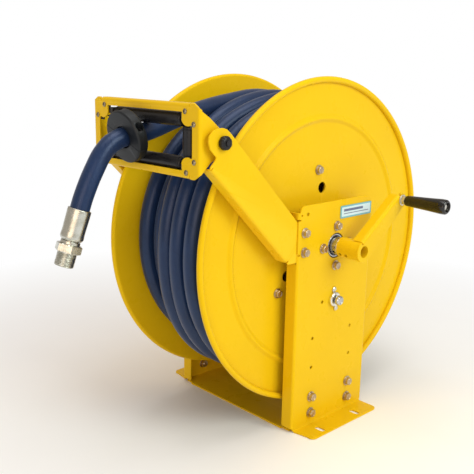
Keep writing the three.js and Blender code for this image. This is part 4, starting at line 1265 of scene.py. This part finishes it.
def head_outline():
    """Flat (x, z) outline: front plate, an ear on each side, a lip above and below."""
    top, bottom = HEAD_TOP, HEAD_BOTTOM
    # x, z, corner radius; the first and last point only steer the rounding
    right = rounded([
        (100, bottom, 0), (HEAD_HALF - 13, bottom, 3), (EAR_CREASE + 1.0, bottom + 5.5, 1),
        (ear_u(EAR_START_Y) + 0.5, bottom + 9.6, 2), (ear_u(-303), 526, 6),
        (ear_u(-277.5), 538.1, 0),
    ])[1:-1]
    right += arc(ear_u(PIVOT_Y), PIVOT_Z, 22, 295.5, 444, 19)
    right += rounded([
        (ear_u(-287), 580.4, 0), (ear_u(-304), 595.6, 6), (ear_u(-320.3), 606.1, 4),
        (ear_u(EAR_START_Y) + 0.5, top - 9.6, 2), (EAR_CREASE + 1.0, top - 5.5, 1),
        (HEAD_HALF - 13, top, 3), (100, top, 0),
    ])[1:-1]
    lip_x = HEAD_HALF - 25
    crease = top - FOLD_REACH
    edge = crease + FOLD_ARC + 9.0
    top_lip = rounded(mirrored([
        (lip_x + 2.5, top, 0), (lip_x + 2.5, crease - 1.5, 0.8), (lip_x, crease - 1.5, 0.8),
        (lip_x, edge, 3),
    ]))
    bottom_lip = [(-x, top + bottom - z) for x, z in top_lip]
    left = [(-x, z) for x, z in right][::-1]
    return without_repeats(right + top_lip + left + bottom_lip, 0.05)


def window_corner(side, up):
    """Corner tab: straight from the long side, a rounded lobe, straight to the short side."""
    z = WINDOW_TOP if up > 0 else WINDOW_BOTTOM
    points = [(103.5, z), (102.8, z - up * 2.6)]
    for a in np.linspace(161, 62, 12):
        points.append((116.5 + 15.0 * math.cos(math.radians(a)),
                       z - up * 8.2 - up * 13.6 * math.sin(math.radians(a))))
    points += [(125.4, z - up * 20.6), (WINDOW_HALF, z - up * 21.0)]
    return [(side * x, z) for x, z in points]


def head_frame():
    window = (window_corner(1, 1)[::-1] + window_corner(-1, 1)
              + window_corner(-1, -1)[::-1] + window_corner(1, -1))
    holes = [rounded([(x, z, 1.2) for x, z in window], 2)]
    for side in (1, -1):
        holes += [circle(side * x, z, 2.7, 18) for x, z in HEAD_SCREWS]
        holes += [circle(side * ear_u(PIVOT_Y), PIVOT_Z, 5.6, 28)]
    sheet = Sheet(head_outline(), holes, HEAD_FRONT, HEAD_BACK, bevel=0.5)
    sheet.fold(0, EAR_CREASE, 1, 1)
    sheet.fold(0, -EAR_CREASE, -1, 1)
    for line, side in ((HEAD_TOP - FOLD_REACH, 1), (HEAD_BOTTOM + FOLD_REACH, -1)):
        sheet.fold(1, line, side, 1, where=lambda x: abs(x) < HEAD_HALF - 24)
    obj = sheet.build("head_frame_folded", lambda u, v, w: (u, w, v), PAINT)
    attach(obj, "guide_head", "head_frame", slot="yellow_paint")


def roller_bracket(side_name, side, level, up):
    """Corner bracket laid out as u = |x|, v = height away from the rollers' mid height."""
    node = "roller_bracket_%s_%s" % (level, side_name)
    lo, hi = cad_box(node)
    inner_x = lo[0] if side > 0 else -hi[0]
    y0 = lo[1]
    roller_v = abs((ROLLER_TOP_Z if up > 0 else ROLLER_BOTTOM_Z) - ROLLER_MID_Z)
    tip_v = abs((612 if up > 0 else 504) - ROLLER_MID_Z)
    base_v = 28.0
    radius, thickness = 1.2, 2.5
    reach, bend = radius + thickness, fold_arc(radius, thickness)
    crease_u, crease_v = inner_x + reach, base_v + reach
    ear = (hi[1] - y0) - radius - thickness
    axle = ROLLER_Y - (y0 + thickness + radius)
    ear_edge_u, ear_edge_v = crease_u - bend - ear, crease_v - bend - ear
    outline = rounded([
        (ear_edge_u, crease_v + 3, 3), (crease_u + 0.6, crease_v + 3, 0.5),
        (crease_u + 0.6, crease_v + 0.6, 0.5), (crease_u + 3.2, crease_v + 0.6, 0.5),
        (crease_u + 3.2, ear_edge_v, 3), (116.0, ear_edge_v, 5), (116.0, crease_v + 0.3, 0.5),
        (120.0, crease_v + 0.3, 0.5), (120.0, 22.2, 1.5), (138.7, 22.2, 4),
        (138.7, base_v + 14, 5), (118, tip_v, 5), (crease_u + 2, tip_v, 2),
        (crease_u + 2, roller_v + 9.5, 0.5), (ear_edge_u, roller_v + 9.5, 5),
    ])
    holes = [circle(crease_u - bend - axle, roller_v, 3.2, 20),
             circle(SIDE_ROLLER_X, crease_v - bend - axle, 3.2, 20)]
    sheet = Sheet(outline, holes, y0, y0 + thickness, bevel=0.35)
    sheet.fold(0, crease_u, -1, 1, radius, where=lambda v: v > crease_v + 0.5, steps=5)
    sheet.fold(1, crease_v, -1, 1, radius, where=lambda u: 118 > u > crease_u + 2, steps=5)
    obj = sheet.build("bracket_%s_%s" % (level, side_name),
                      lambda u, v, w: (u, w, ROLLER_MID_Z + up * v), BLACKENED, side)
    attach(obj, "guide_head", node, slot="zinc_plate")


def head_screw(name, x, z):
    origin, forward = (x, HEAD_FRONT - 0.2, z), (0, -1, 0)
    screw = [(0.2, 4.6, 0.6), (1.2, 4.2, 0.5), (2.6, 2.3, 0.6), (2.7, 1.6), (1.4, 1.3), (1.4, 0),
             (-6.5, 0), (-6.5, 2.2), (0.0, 2.2)]
    nut = ring(-9.0, -6.0, 2.0, 4.4, (0.4, 0.4))
    obj = join(
        name,
        lathe(screw, origin, forward, ZINC_DARK, 32),
        lathe(nut, origin, forward, ZINC_DARK, 6, angle=20),
    )
    attach(obj, "guide_head", slot="zinc_plate")


def head_brackets():
    for side_name, side in SIDES:
        for level, up in (("top", 1), ("bottom", -1)):
            roller_bracket(side_name, side, level, up)
        for i, (x, z) in enumerate(HEAD_SCREWS):
            head_screw("head_screw_%s_%d" % (side_name, i + 1), side * x, z)


# distance from the end, radius, rounding of one end of a roller, up to past its groove
LONG_ROLLER_END = [
    (0, 3.3), (0, 7.5, 0.4), (1, 7.6), (1.2, 10.5, 0.6), (3.0, ROLLER_RADIUS, 1.2),
    (5.0, ROLLER_RADIUS), (5.6, ROLLER_RADIUS - 0.7), (6.4, ROLLER_RADIUS - 0.7),
    (7.0, ROLLER_RADIUS),
]
SHORT_ROLLER_END = [
    (0, 3.3), (0, 10.3, 0.6), (1.8, ROLLER_RADIUS, 1.0), (4.0, ROLLER_RADIUS),
    (4.5, ROLLER_RADIUS - 0.7), (5.3, ROLLER_RADIUS - 0.7), (5.8, ROLLER_RADIUS),
]


def roller(place, kind, centre, axis, axle_half, clip, half, end):
    """Grooved roller on an axle with a clip near each end."""
    clip_profile = ring(clip, clip + 1, 2.8, 5.2, (0.2, 0.2))
    axle = join(
        "axle_" + place,
        lathe(ring(-axle_half, axle_half, 0, 3.0, (0.5, 0.5)), centre, axis, BLACKENED, 24),
        lathe(clip_profile, centre, axis, BLACKENED, 28),
        lathe(clip_profile, centre, tuple(-a for a in axis), BLACKENED, 28),
    )
    attach(axle, "guide_head", "roller_axle_" + place, slot="bare_steel")
    profile = mirrored([(-half + depth, *rest) for depth, *rest in end])
    obj = lathe(profile, centre, axis, NYLON, 56, name="roller_%s_%s" % (kind, place))
    attach(obj, "roller_" + place, "roller_" + place, slot="black_roller")


def rollers():
    for level, z in (("top", ROLLER_TOP_Z), ("bottom", ROLLER_BOTTOM_Z)):
        roller(level, "long", (0, ROLLER_Y, z), ALONG_X, axle_half=101, clip=97.5,
               half=ROLLER_HALF, end=LONG_ROLLER_END)
    for side_name, side in SIDES:
        roller(side_name, "short", (side * SIDE_ROLLER_X, ROLLER_Y, ROLLER_MID_Z), (0, 0, 1),
               axle_half=33, clip=30.9, half=SIDE_ROLLER_HALF, end=SHORT_ROLLER_END)


# distance out from the arm, radius, flute depth of the hand knob
KNOB_ROWS = (
    (0, 8.0, 0), (0, 10.2, 0.2), (1.2, 11.2, 0.8), (3.0, 11.4, 1.0), (7.2, 11.2, 1.0),
    (9.0, 10.2, 0.8), (10.0, 8.2, 0.3), (10.5, 6.0, 0.0), (10.2, 4.4, 0), (9.4, 4.0, 0),
    (9.4, 0.01, 0),
)


def fluted_knob(start, side):
    count, last = 96, len(KNOB_ROWS) - 1
    verts = []
    for out, radius, flute in KNOB_ROWS:
        for i in range(count):
            t = 2 * math.pi * i / count
            r = radius - flute * 0.75 * max(0.0, math.cos(8 * t)) ** 2
            verts.append((side * (start + out), PIVOT_Y + r * math.cos(t),
                          PIVOT_Z + r * math.sin(t)))
    faces = [quad(k, k + 1, i, count) for k in range(last) for i in range(count)]
    faces += [tuple(range(count)), tuple(last * count + i for i in range(count))]
    return mesh_object("knob", verts, faces, NYLON, 40)


def head_pivot(side_name, side):
    """Hand knob and its bolt through the arm and ear, and the spacer between them."""
    start = ARM_OUTER_X + 0.4
    axis, back, centre = (side, 0, 0), (-side, 0, 0), (0, PIVOT_Y, PIVOT_Z)
    obj = join(
        "pivot_knob_" + side_name,
        fluted_knob(start, side),
        hex_solid([(0, 4.2), (1.0, 4.3), (1.5, 3.9)], 7.4, (side * (start + 10.4), *PIVOT),
                  axis, NYLON, turn=0.2),
        lathe(ring(HEAD_HALF - 13, start + 2, 0, 4, (0.5, 0)), centre, axis, ZINC, 32),
        hex_solid([(0, 7.0), (0.5, 7.5), (5.6, 7.5), (6.3, 6.8)], 13.0,
                  (side * (HEAD_HALF - 3.4), *PIVOT), back, ZINC, bore=4.2),
    )
    attach(obj, "guide_head", "head_knob_" + side_name, slot="black_roller")
    ear, arm = HEAD_HALF, ARM_INNER_X - 0.4
    spacer = lathe(
        [(ear + 0.3, 5), (ear + 0.3, 14.6, 0.8), (ear + 2.0, 14.6, 0.8), (ear + 2.2, 11.5, 0.5),
         (arm, 11.5, 0.5), (arm, 5)],
        centre, axis, NYLON, 48, name="pivot_spacer_" + side_name,
    )
    attach(spacer, "guide_head", "pivot_washer_" + side_name, slot="black_rubber")


# ---- hose stop ------------------------------------------------------------------
STOP_X, STOP_Y, STOP_Z = STOP_CENTRE = (-14.0, -347.0, 558.5)
# the stop is built upright, then leans with the hose
STOP_LEAN = (Matrix.Translation(Vector(STOP_CENTRE) / 1000)
             @ Matrix.Rotation(math.radians(14), 4, "X")
             @ Matrix.Translation(-Vector(STOP_CENTRE) / 1000))
# unit (x, z) across the split, toward the upper half
ACROSS_SPLIT = np.array([math.cos(math.radians(62)), math.sin(math.radians(62))])
SCREW_OFFSETS = (27, -27)  # of the clamp screws along the split


def stop_at(along, across):
    """(x, z) of a place given along and across the split"""
    dx, dz = ACROSS_SPLIT
    return (STOP_X - along * dz + across * dx, STOP_Z + along * dx + across * dz)


def stop_half(half, up):
    y, bore = STOP_Y, HOSE_RADIUS + 1.7
    obj = lathe(
        [(y + 17, bore), (y + 17, 26.5, 1.5), (y + 10.5, 27.5, 1.5), (y + 10, 42.6, 2.4),
         (y + 7, 44.6, 2.0), (y - 7.4, 44.6, 2.0), (y - 10, 42.6, 1.6), (y - 10.2, 24, 0.5),
         (y - 9.4, HOSE_RADIUS + 2.6, 1.0), (y - 7.8, bore, 0.8)],
        (STOP_X, 0, STOP_Z), (0, 1, 0), STOP, 96, angle=40, name="stop",
    )
    # block that takes away the other half and a thin gap
    far, gap = 80, up * 0.45
    corners = [stop_at(-far, -up * far), stop_at(far, -up * far), stop_at(far, gap),
               stop_at(-far, gap)]
    verts = [(x, y, z) for y in (STOP_Y - 40, STOP_Y + 40) for x, z in corners]
    faces = [(0, 1, 2, 3), (7, 6, 5, 4), (0, 4, 5, 1), (1, 5, 6, 2), (2, 6, 7, 3), (3, 7, 4, 0)]
    cut(obj, mesh_object("block", verts, faces, STOP, angle=None))
    # stepped screw holes
    hole = [(-5, 0), (-5, 3.2), (23, 3.2), (23, 6.6), (60, 7.0), (60, 0)]
    dx, dz = ACROSS_SPLIT
    cutters = []
    for offset in SCREW_OFFSETS:
        x, z = stop_at(offset, 0)
        cutters.append(lathe(hole, (x, STOP_Y, z), (up * dx, 0, up * dz), STOP, 40))
    cut(obj, join("cuts", *cutters))
    edge_bevel(obj, width=0.0008, angle=48).segments = 2
    reshade(obj, 40)
    obj.name = "stop_half_" + half
    obj.data.transform(STOP_LEAN)
    attach(obj, "guide_head", "hose_stop_%s_half" % half, slot="black_rubber")


def stop_screws():
    dx, dz = ACROSS_SPLIT
    axis = (dx, 0, dz)
    head = [(23.3, 0), (23.3, 5.8, 0.4), (28.6, 5.8, 0.8), (28.6, 3.0, 0.2), (25.8, 3.0),
            (25.8, 0)]
    for i, offset in enumerate(SCREW_OFFSETS):
        x, z = stop_at(offset, 0)
        origin = (x, STOP_Y, z)
        obj = join(
            "stop_screw_%d" % (i + 1),
            lathe(ring(-21, 21, 0, 3.0), origin, axis, ZINC, 24),
            lathe(head, origin, axis, NYLON, 36),
            hex_solid([(0, 5.6), (0.4, 6.0), (4.6, 6.0), (5.0, 5.6)], 10.4,
                      (x - dx * 23.3, STOP_Y, z - dz * 23.3), (-dx, 0, -dz), NYLON, bore=2.9),
        )
        obj.data.transform(STOP_LEAN)
        attach(obj, "guide_head", slot="zinc_plate")


# ---- hose -----------------------------------------------------------------------
TURN_PITCH = 32.9
UNDER_RADIUS = 204.0  # centre line radii of the layers
OUTER_RADIUS = 232.3
COUPLING_START = np.array([-18.0, -440.0, 442.0])
COUPLING_AXIS = np.array([-3.0, -15.5, -47.0])
COUPLING_AXIS /= np.linalg.norm(COUPLING_AXIS)

# angle counted back from the lead in degrees, x along the drum
WRAP_X = [
    (-1330, 98.6), (-1008, 98.6), (-985, 92), (-964, 78), (-950, 65), (-900, 66), (-871, 60),
    (-830, 58), (-780, 54), (-720, 50), (-680, 48), (-630, 42), (-604, 30), (-593, 20),
    (-553, 28), (-529, 26), (-511, 16), (-496, 8), (-480, 2), (-450, -4), (-360, -8),
    (-300, -14), (-260, -16), (-240, -16), (-225, -12), (-193, -5), (-172, -6), (-151, -17),
    (-136, -25), (-120, -33), (-90, -40), (-60, -52), (0, -62), (60, -66), (100, -60),
]
# the angles of the original run forward from -1330 to 100; WRAP_X holds their negative side
WRAP_X = [
    (-1330, 98.6), (-1008, 98.6), *WRAP_X[2:],
]
# angle round the reel in degrees, centre line radius: the loose turns hang away below
HANG_RADIUS = [(0, 265.6), (60, 265.3), (105, 265.5), (130, 271.5), (200, 272), (270, 270),
               (330, 266.5), (360, 265.6)]
# x, y, z from the reel through the rollers and the stop, and down to the coupling
LEAD = [
    (-53.5, -85, 607), (-44.3, -135, 600.5), (-35.5, -190, 590.5), (-28, -242, 579),
    (-24.9, -262, 573.8), (-22.3, -277, 569.8), (-19, -298, 565), (-16.5, -310, 563),
    (-15, -322, 562), (-14.2, -335, 560.6), (-14, -347, 558.6), (-14, -357, 556.4),
    (-14.5, -366, 553.2), (-15, -379.5, 546.6), (-15.2, -397, 530), (-15.3, -409.5, 510.5),
    (-15.8, -421, 489.5),
]


def on_reel(angle, x, radius):
    a = math.radians(angle)
    return (x, radius * math.cos(a), AXIS_Z + radius * math.sin(a))


def ease(t):
    t = min(1.0, max(0.0, t))
    return t * t * (3 - 2 * t)


def layer_path(turns, start_angle, span, wobble, sink, step):
    """One layer of turns, each (x, radius), stepping to the next over the last span degrees.

    Both ends of the layer sink inwards by sink.
    """
    points = []
    total = 360.0 * len(turns)
    phases = [rng.uniform(0, 2 * math.pi) for _ in range(4)]
    for i in range(int(total / step) + 1):
        s = i * step
        turn = min(int(s // 360), len(turns) - 1)
        f = s - 360 * turn
        x, r = turns[turn]
        if turn + 1 < len(turns):
            next_x, next_r = turns[turn + 1]
            x += (next_x - x) * ease((f - (360 - span)) / span)
            r += (next_r - r) * ease((f - (300 - span)) / (60 + span))
        if s < span:
            r -= sink * (1 - ease(s / span))
        if s > total - span:
            r -= sink * ease((s - (total - span)) / span)
        a = math.radians(s)
        waves = 0.5 * math.sin(a * 1.7 + phases[0]) + 0.5 * math.sin(a * 3.1 + phases[1])
        r += wobble * waves - wobble
        x += wobble * 0.25 * math.sin(a * 2.3 + phases[2])
        points.append(on_reel(start_angle - s, x, r))
    return points


def hose_layers():
    under = [(-82.2 + TURN_PITCH * i, UNDER_RADIUS) for i in range(6)]
    rises = (13.2, 3.8, 0, 0, 0, 0)
    outer = [(-98.6 + TURN_PITCH * i, OUTER_RADIUS + rise) for i, rise in enumerate(rises)]
    under = layer_path(under, start_angle=-20, span=55, wobble=0.8, sink=14, step=4.0)
    outer = layer_path(outer, start_angle=-25, span=60, wobble=0.9, sink=20, step=2.5)
    under = tube("hose_layer_under", under, HOSE_RADIUS, HOSE, sides=20)
    outer = tube("hose_layer_outer", outer, HOSE_RADIUS, HOSE, sides=32)
    attach(outer, "reel", "hose_coil", slot="hose_cover")
    attach(under, "reel", slot="hose_cover")


def hose_run():
    """The last turns and the run through the head, as one hose."""
    angles = np.arange(-1325.0, 101.0, 3.0)
    xs = np.interp(angles, *zip(*WRAP_X))
    radii = np.interp(angles % 360.0, *zip(*HANG_RADIUS))
    # the first turn climbs from the outer layer
    radii = np.array([r + (OUTER_RADIUS - r) * ease((-964 - f) / 46.0)
                      for f, r in zip(angles, radii)])
    kernel = np.exp(-0.5 * (np.arange(-6, 7) / 2.2) ** 2)
    kernel /= kernel.sum()
    xs, radii = (np.convolve(np.pad(values, 6, mode="edge"), kernel, mode="valid")
                 for values in (xs, radii))
    wrap = [on_reel(f, x, r) for f, x, r in zip(angles, xs, radii)]
    tail = [tuple(COUPLING_START + COUPLING_AXIS * d) for d in (-20, -6, 8, 14)]
    hose = tube("hose_run", resample(wrap[::4] + LEAD + tail, 6.0), HOSE_RADIUS, HOSE, sides=32)
    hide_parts("hose_lead", "hose_front")
    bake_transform(hose)


# ---- coupling -------------------------------------------------------------------
def male_thread(origin, axis):
    """Thread cut as a real spiral, with a plain bore."""
    count, steps = 72, 96
    pitch, crest, depth, bore = 2.31, 16.3, 1.1, 10.2
    start, end = 69.6, 93.4
    place = axis_placer(origin, axis)
    verts = []
    for k in range(steps + 1):
        along = start + (end - start) * k / steps
        for i in range(count):
            phase = (along / pitch - i / count) % 1.0
            r = crest - depth * abs(2 * phase - 1)
            if along > end - 1.6:
                r = min(r, 16.2 - (along - (end - 1.6)) * 1.0)
            if along < start + 1.6:
                r = min(r, 15.1)
            verts.append(place(along, 2 * math.pi * i / count, r))
    for along in (end, start):
        verts += [place(along, 2 * math.pi * i / count, bore) for i in range(count)]
    rows = steps + 3
    faces = [quad(k, (k + 1) % rows, i, count) for k in range(rows) for i in range(count)]
    return mesh_object("thread", verts, faces, BRIGHT, 30)


def coupling():
    origin, axis = tuple(COUPLING_START), tuple(COUPLING_AXIS)
    ferrule = lathe(
        [(-3, HOSE_RADIUS + 0.5, 0.6), (-3, 19.2, 1.4), (3, 19.4, 2), (36, 18.9, 6),
         (42, 19.4, 3), (45.4, 19.3, 2), (49.4, 16.6, 2), (49.4, 12.9, 0.4), (28, 12.9),
         (28, HOSE_RADIUS + 0.4)],
        origin, axis, BRIGHT, 80, angle=40, name="ferrule_crimped",
    )
    attach(ferrule, "guide_head", "coupling_ferrule", slot="zinc_plate")
    stem = join(
        "coupling_threaded_stem",
        lathe([(30, 10), (30, 12.4), (50.4, 12.4), (50.4, 16.0, 0.8), (55.2, 16.4, 0.8),
               (56, 15.6), (56, 10)], origin, axis, BRIGHT),
        hex_solid([(55.8, 18.9), (57.0, 21.8), (57.4, 22.4), (68.2, 22.4), (68.6, 21.8),
                   (69.8, 18.9)], 38.6, origin, axis, BRIGHT, bore=10.2, turn=0.35, segments=96),
        male_thread(origin, axis),
    )
    attach(stem, "guide_head", "coupling_stem", slot="zinc_plate")


# ---- inlet swivel ---------------------------------------------------------------
def inlet_swivel():
    """Body on the shaft's inlet end, with a port and hexagon turned to +Y."""
    start_x = cad_box("swivel_body")[0][0]
    port_x, end = -188.0, -start_x
    obj = join(
        "swivel_elbow",
        lathe([(164, 17.6, 0.5), (164, 24.5, 1), (168, 26, 1), (172, 26, 0.5), (173, 25.2),
               (203, 25.2, 1), (208, 26, 1.5), (end, 22.5, 2), (end, 8.5, 0.8), (209.5, 8.0),
               (209.5, 0), (205, 0), (205, 17.6)], SHAFT, (-1, 0, 0), BRASS, 72),
        lathe(ring(20, 44, 14.6, 18.8, (0, 2)), (port_x, 0, AXIS_Z), (0, 1, 0), BRASS, 56),
        hex_solid([(0, 20.6), (1.6, 23.8), (16.2, 23.8), (18, 20.8)], 41.0,
                  (port_x, 44, AXIS_Z), (0, 1, 0), BRASS, bore=14.6, turn=0.26, segments=96),
        hex_solid([(0, 7.6), (2.2, 7.6), (2.8, 7.0)], 13.0, (start_x + 3.0, 0, AXIS_Z),
                  (-1, 0, 0), BRASS, turn=0.1),
    )
    attach(obj, "frame", "swivel_body", slot="brass")


# ---- floor, light, camera (metres) ----------------------------------------------
def studio_floor():
    half, level = 30.0, -0.0005
    mesh = bpy.data.meshes.new("floor")
    corners = [(x * half, y * half, level) for x, y in ((-1, -1), (1, -1), (1, 1), (-1, 1))]
    mesh.from_pydata(corners, [], [(0, 1, 2, 3)])
    floor = bpy.data.objects.new("floor", mesh)
    SCENE.collection.objects.link(floor)
    grey, pale = (0.90, 0.90, 0.90), (0.93, 0.93, 0.93)
    material, g, bsdf = new_material("floor_pale")
    coords = g.coords()
    mottle = g.remap(g.noise(coords, scale=3.0, detail=3.0), span=(0.3, 0.7))
    g.feed(bsdf, {"Base Color": g.mix(mottle, grey, pale), "Roughness": 0.75})
    # the floor runs into the white of the room away from the reel
    x, y, _ = g.split(coords)
    distance = g.math("SQRT", g.plus(g.math("POWER", x, 2.0), g.math("POWER", y, 2.0)))
    glow = g.add("ShaderNodeEmission")
    g.feed(glow, {"Color": (1, 1, 1, 1), "Strength": 1.0})
    blend = g.add("ShaderNodeMixShader")
    fade = g.remap(distance, span=(0.35, 1.3))
    g.feed(blend, {0: fade, 1: bsdf.outputs[0], 2: glow.outputs[0]})
    g.link(blend.outputs[0], g.tree.nodes["Material Output"].inputs[0])
    mesh.materials.append(material)


def studio_world():
    """White to the camera, a dimmer warm light to everything else."""
    ambient, warm, white = 0.52, (1.0, 0.90, 0.80), (1.0, 1.0, 1.0)
    world = bpy.data.worlds.new("studio")
    SCENE.world = world
    world.use_nodes = True
    g = Graph(world.node_tree)
    to_camera = g.add("ShaderNodeLightPath").outputs["Is Camera Ray"]
    g.feed(g.tree.nodes["Background"], {
        "Color": g.mix(to_camera, warm, white),
        "Strength": g.remap(to_camera, span=(0.0, 1.0), to=(ambient, 1.0)),
    })


def area_light(name, location, target, size, power, color=(1, 1, 1)):
    light = bpy.data.lights.new(name, "AREA")
    light.shape = "RECTANGLE"
    light.size, light.size_y = size
    light.energy = power
    light.color = color
    obj = bpy.data.objects.new(name, light)
    SCENE.collection.objects.link(obj)
    obj.location = location
    obj.rotation_mode = "QUATERNION"
    aim = Vector(target) - Vector(location)
    obj.rotation_quaternion = aim.to_track_quat("-Z", "Y")


def studio_camera():
    data = bpy.data.cameras.new("camera")
    data.sensor_width = 36.0
    data.lens = 54.912
    data.clip_start, data.clip_end = 0.05, 50
    camera = bpy.data.objects.new("camera", data)
    SCENE.collection.objects.link(camera)
    right = Vector((0.68686, 0.72657, 0.01784)).normalized()
    backward = Vector((0.70472, -0.67180, 0.22818)).normalized()
    up = backward.cross(right).normalized()
    placement = Matrix((right, up, backward)).transposed().to_4x4()
    placement.translation = Vector((0.98798, -1.04593, 0.67219))
    camera.matrix_world = placement
    SCENE.camera = camera


# ---- build ----------------------------------------------------------------------
for side_name, side in SIDES:
    pedestal(side_name, side)
floor_tray()
pedestal_bolts()
for piece in (guide_arm, bearing, flange_disc):
    for side_name, side in SIDES:
        piece(side_name, side)
drum()
shaft()
crank_hub()
crank_lever()
crank_grip()
reel_lock()
lock_spring()
lock_studs()
data_plate()
head_frame()
head_brackets()
rollers()
for side_name, side in SIDES:
    head_pivot(side_name, side)
stop_half("upper", 1)
stop_half("lower", -1)
stop_screws()
hose_layers()
hose_run()
coupling()
inlet_swivel()

studio_floor()
studio_world()
area_light("key", location=(2.6, 0.3, 1.9), target=(0, 0, 0.35), size=(1.6, 1.6), power=48,
           color=(0.93, 1.0, 0.92))
area_light("fill", location=(1.6, -2.5, 1.1), target=(-0.1, 0, 0.35), size=(1.8, 1.4), power=19,
           color=(1.0, 0.78, 0.60))
area_light("top", location=(0.2, -0.3, 2.6), target=(0, 0, 0.3), size=(1.6, 1.6), power=22)
studio_camera()
SCENE.view_settings.view_transform = "Standard"
SCENE.view_settings.look = "None"
SCENE.view_settings.exposure = 0.0
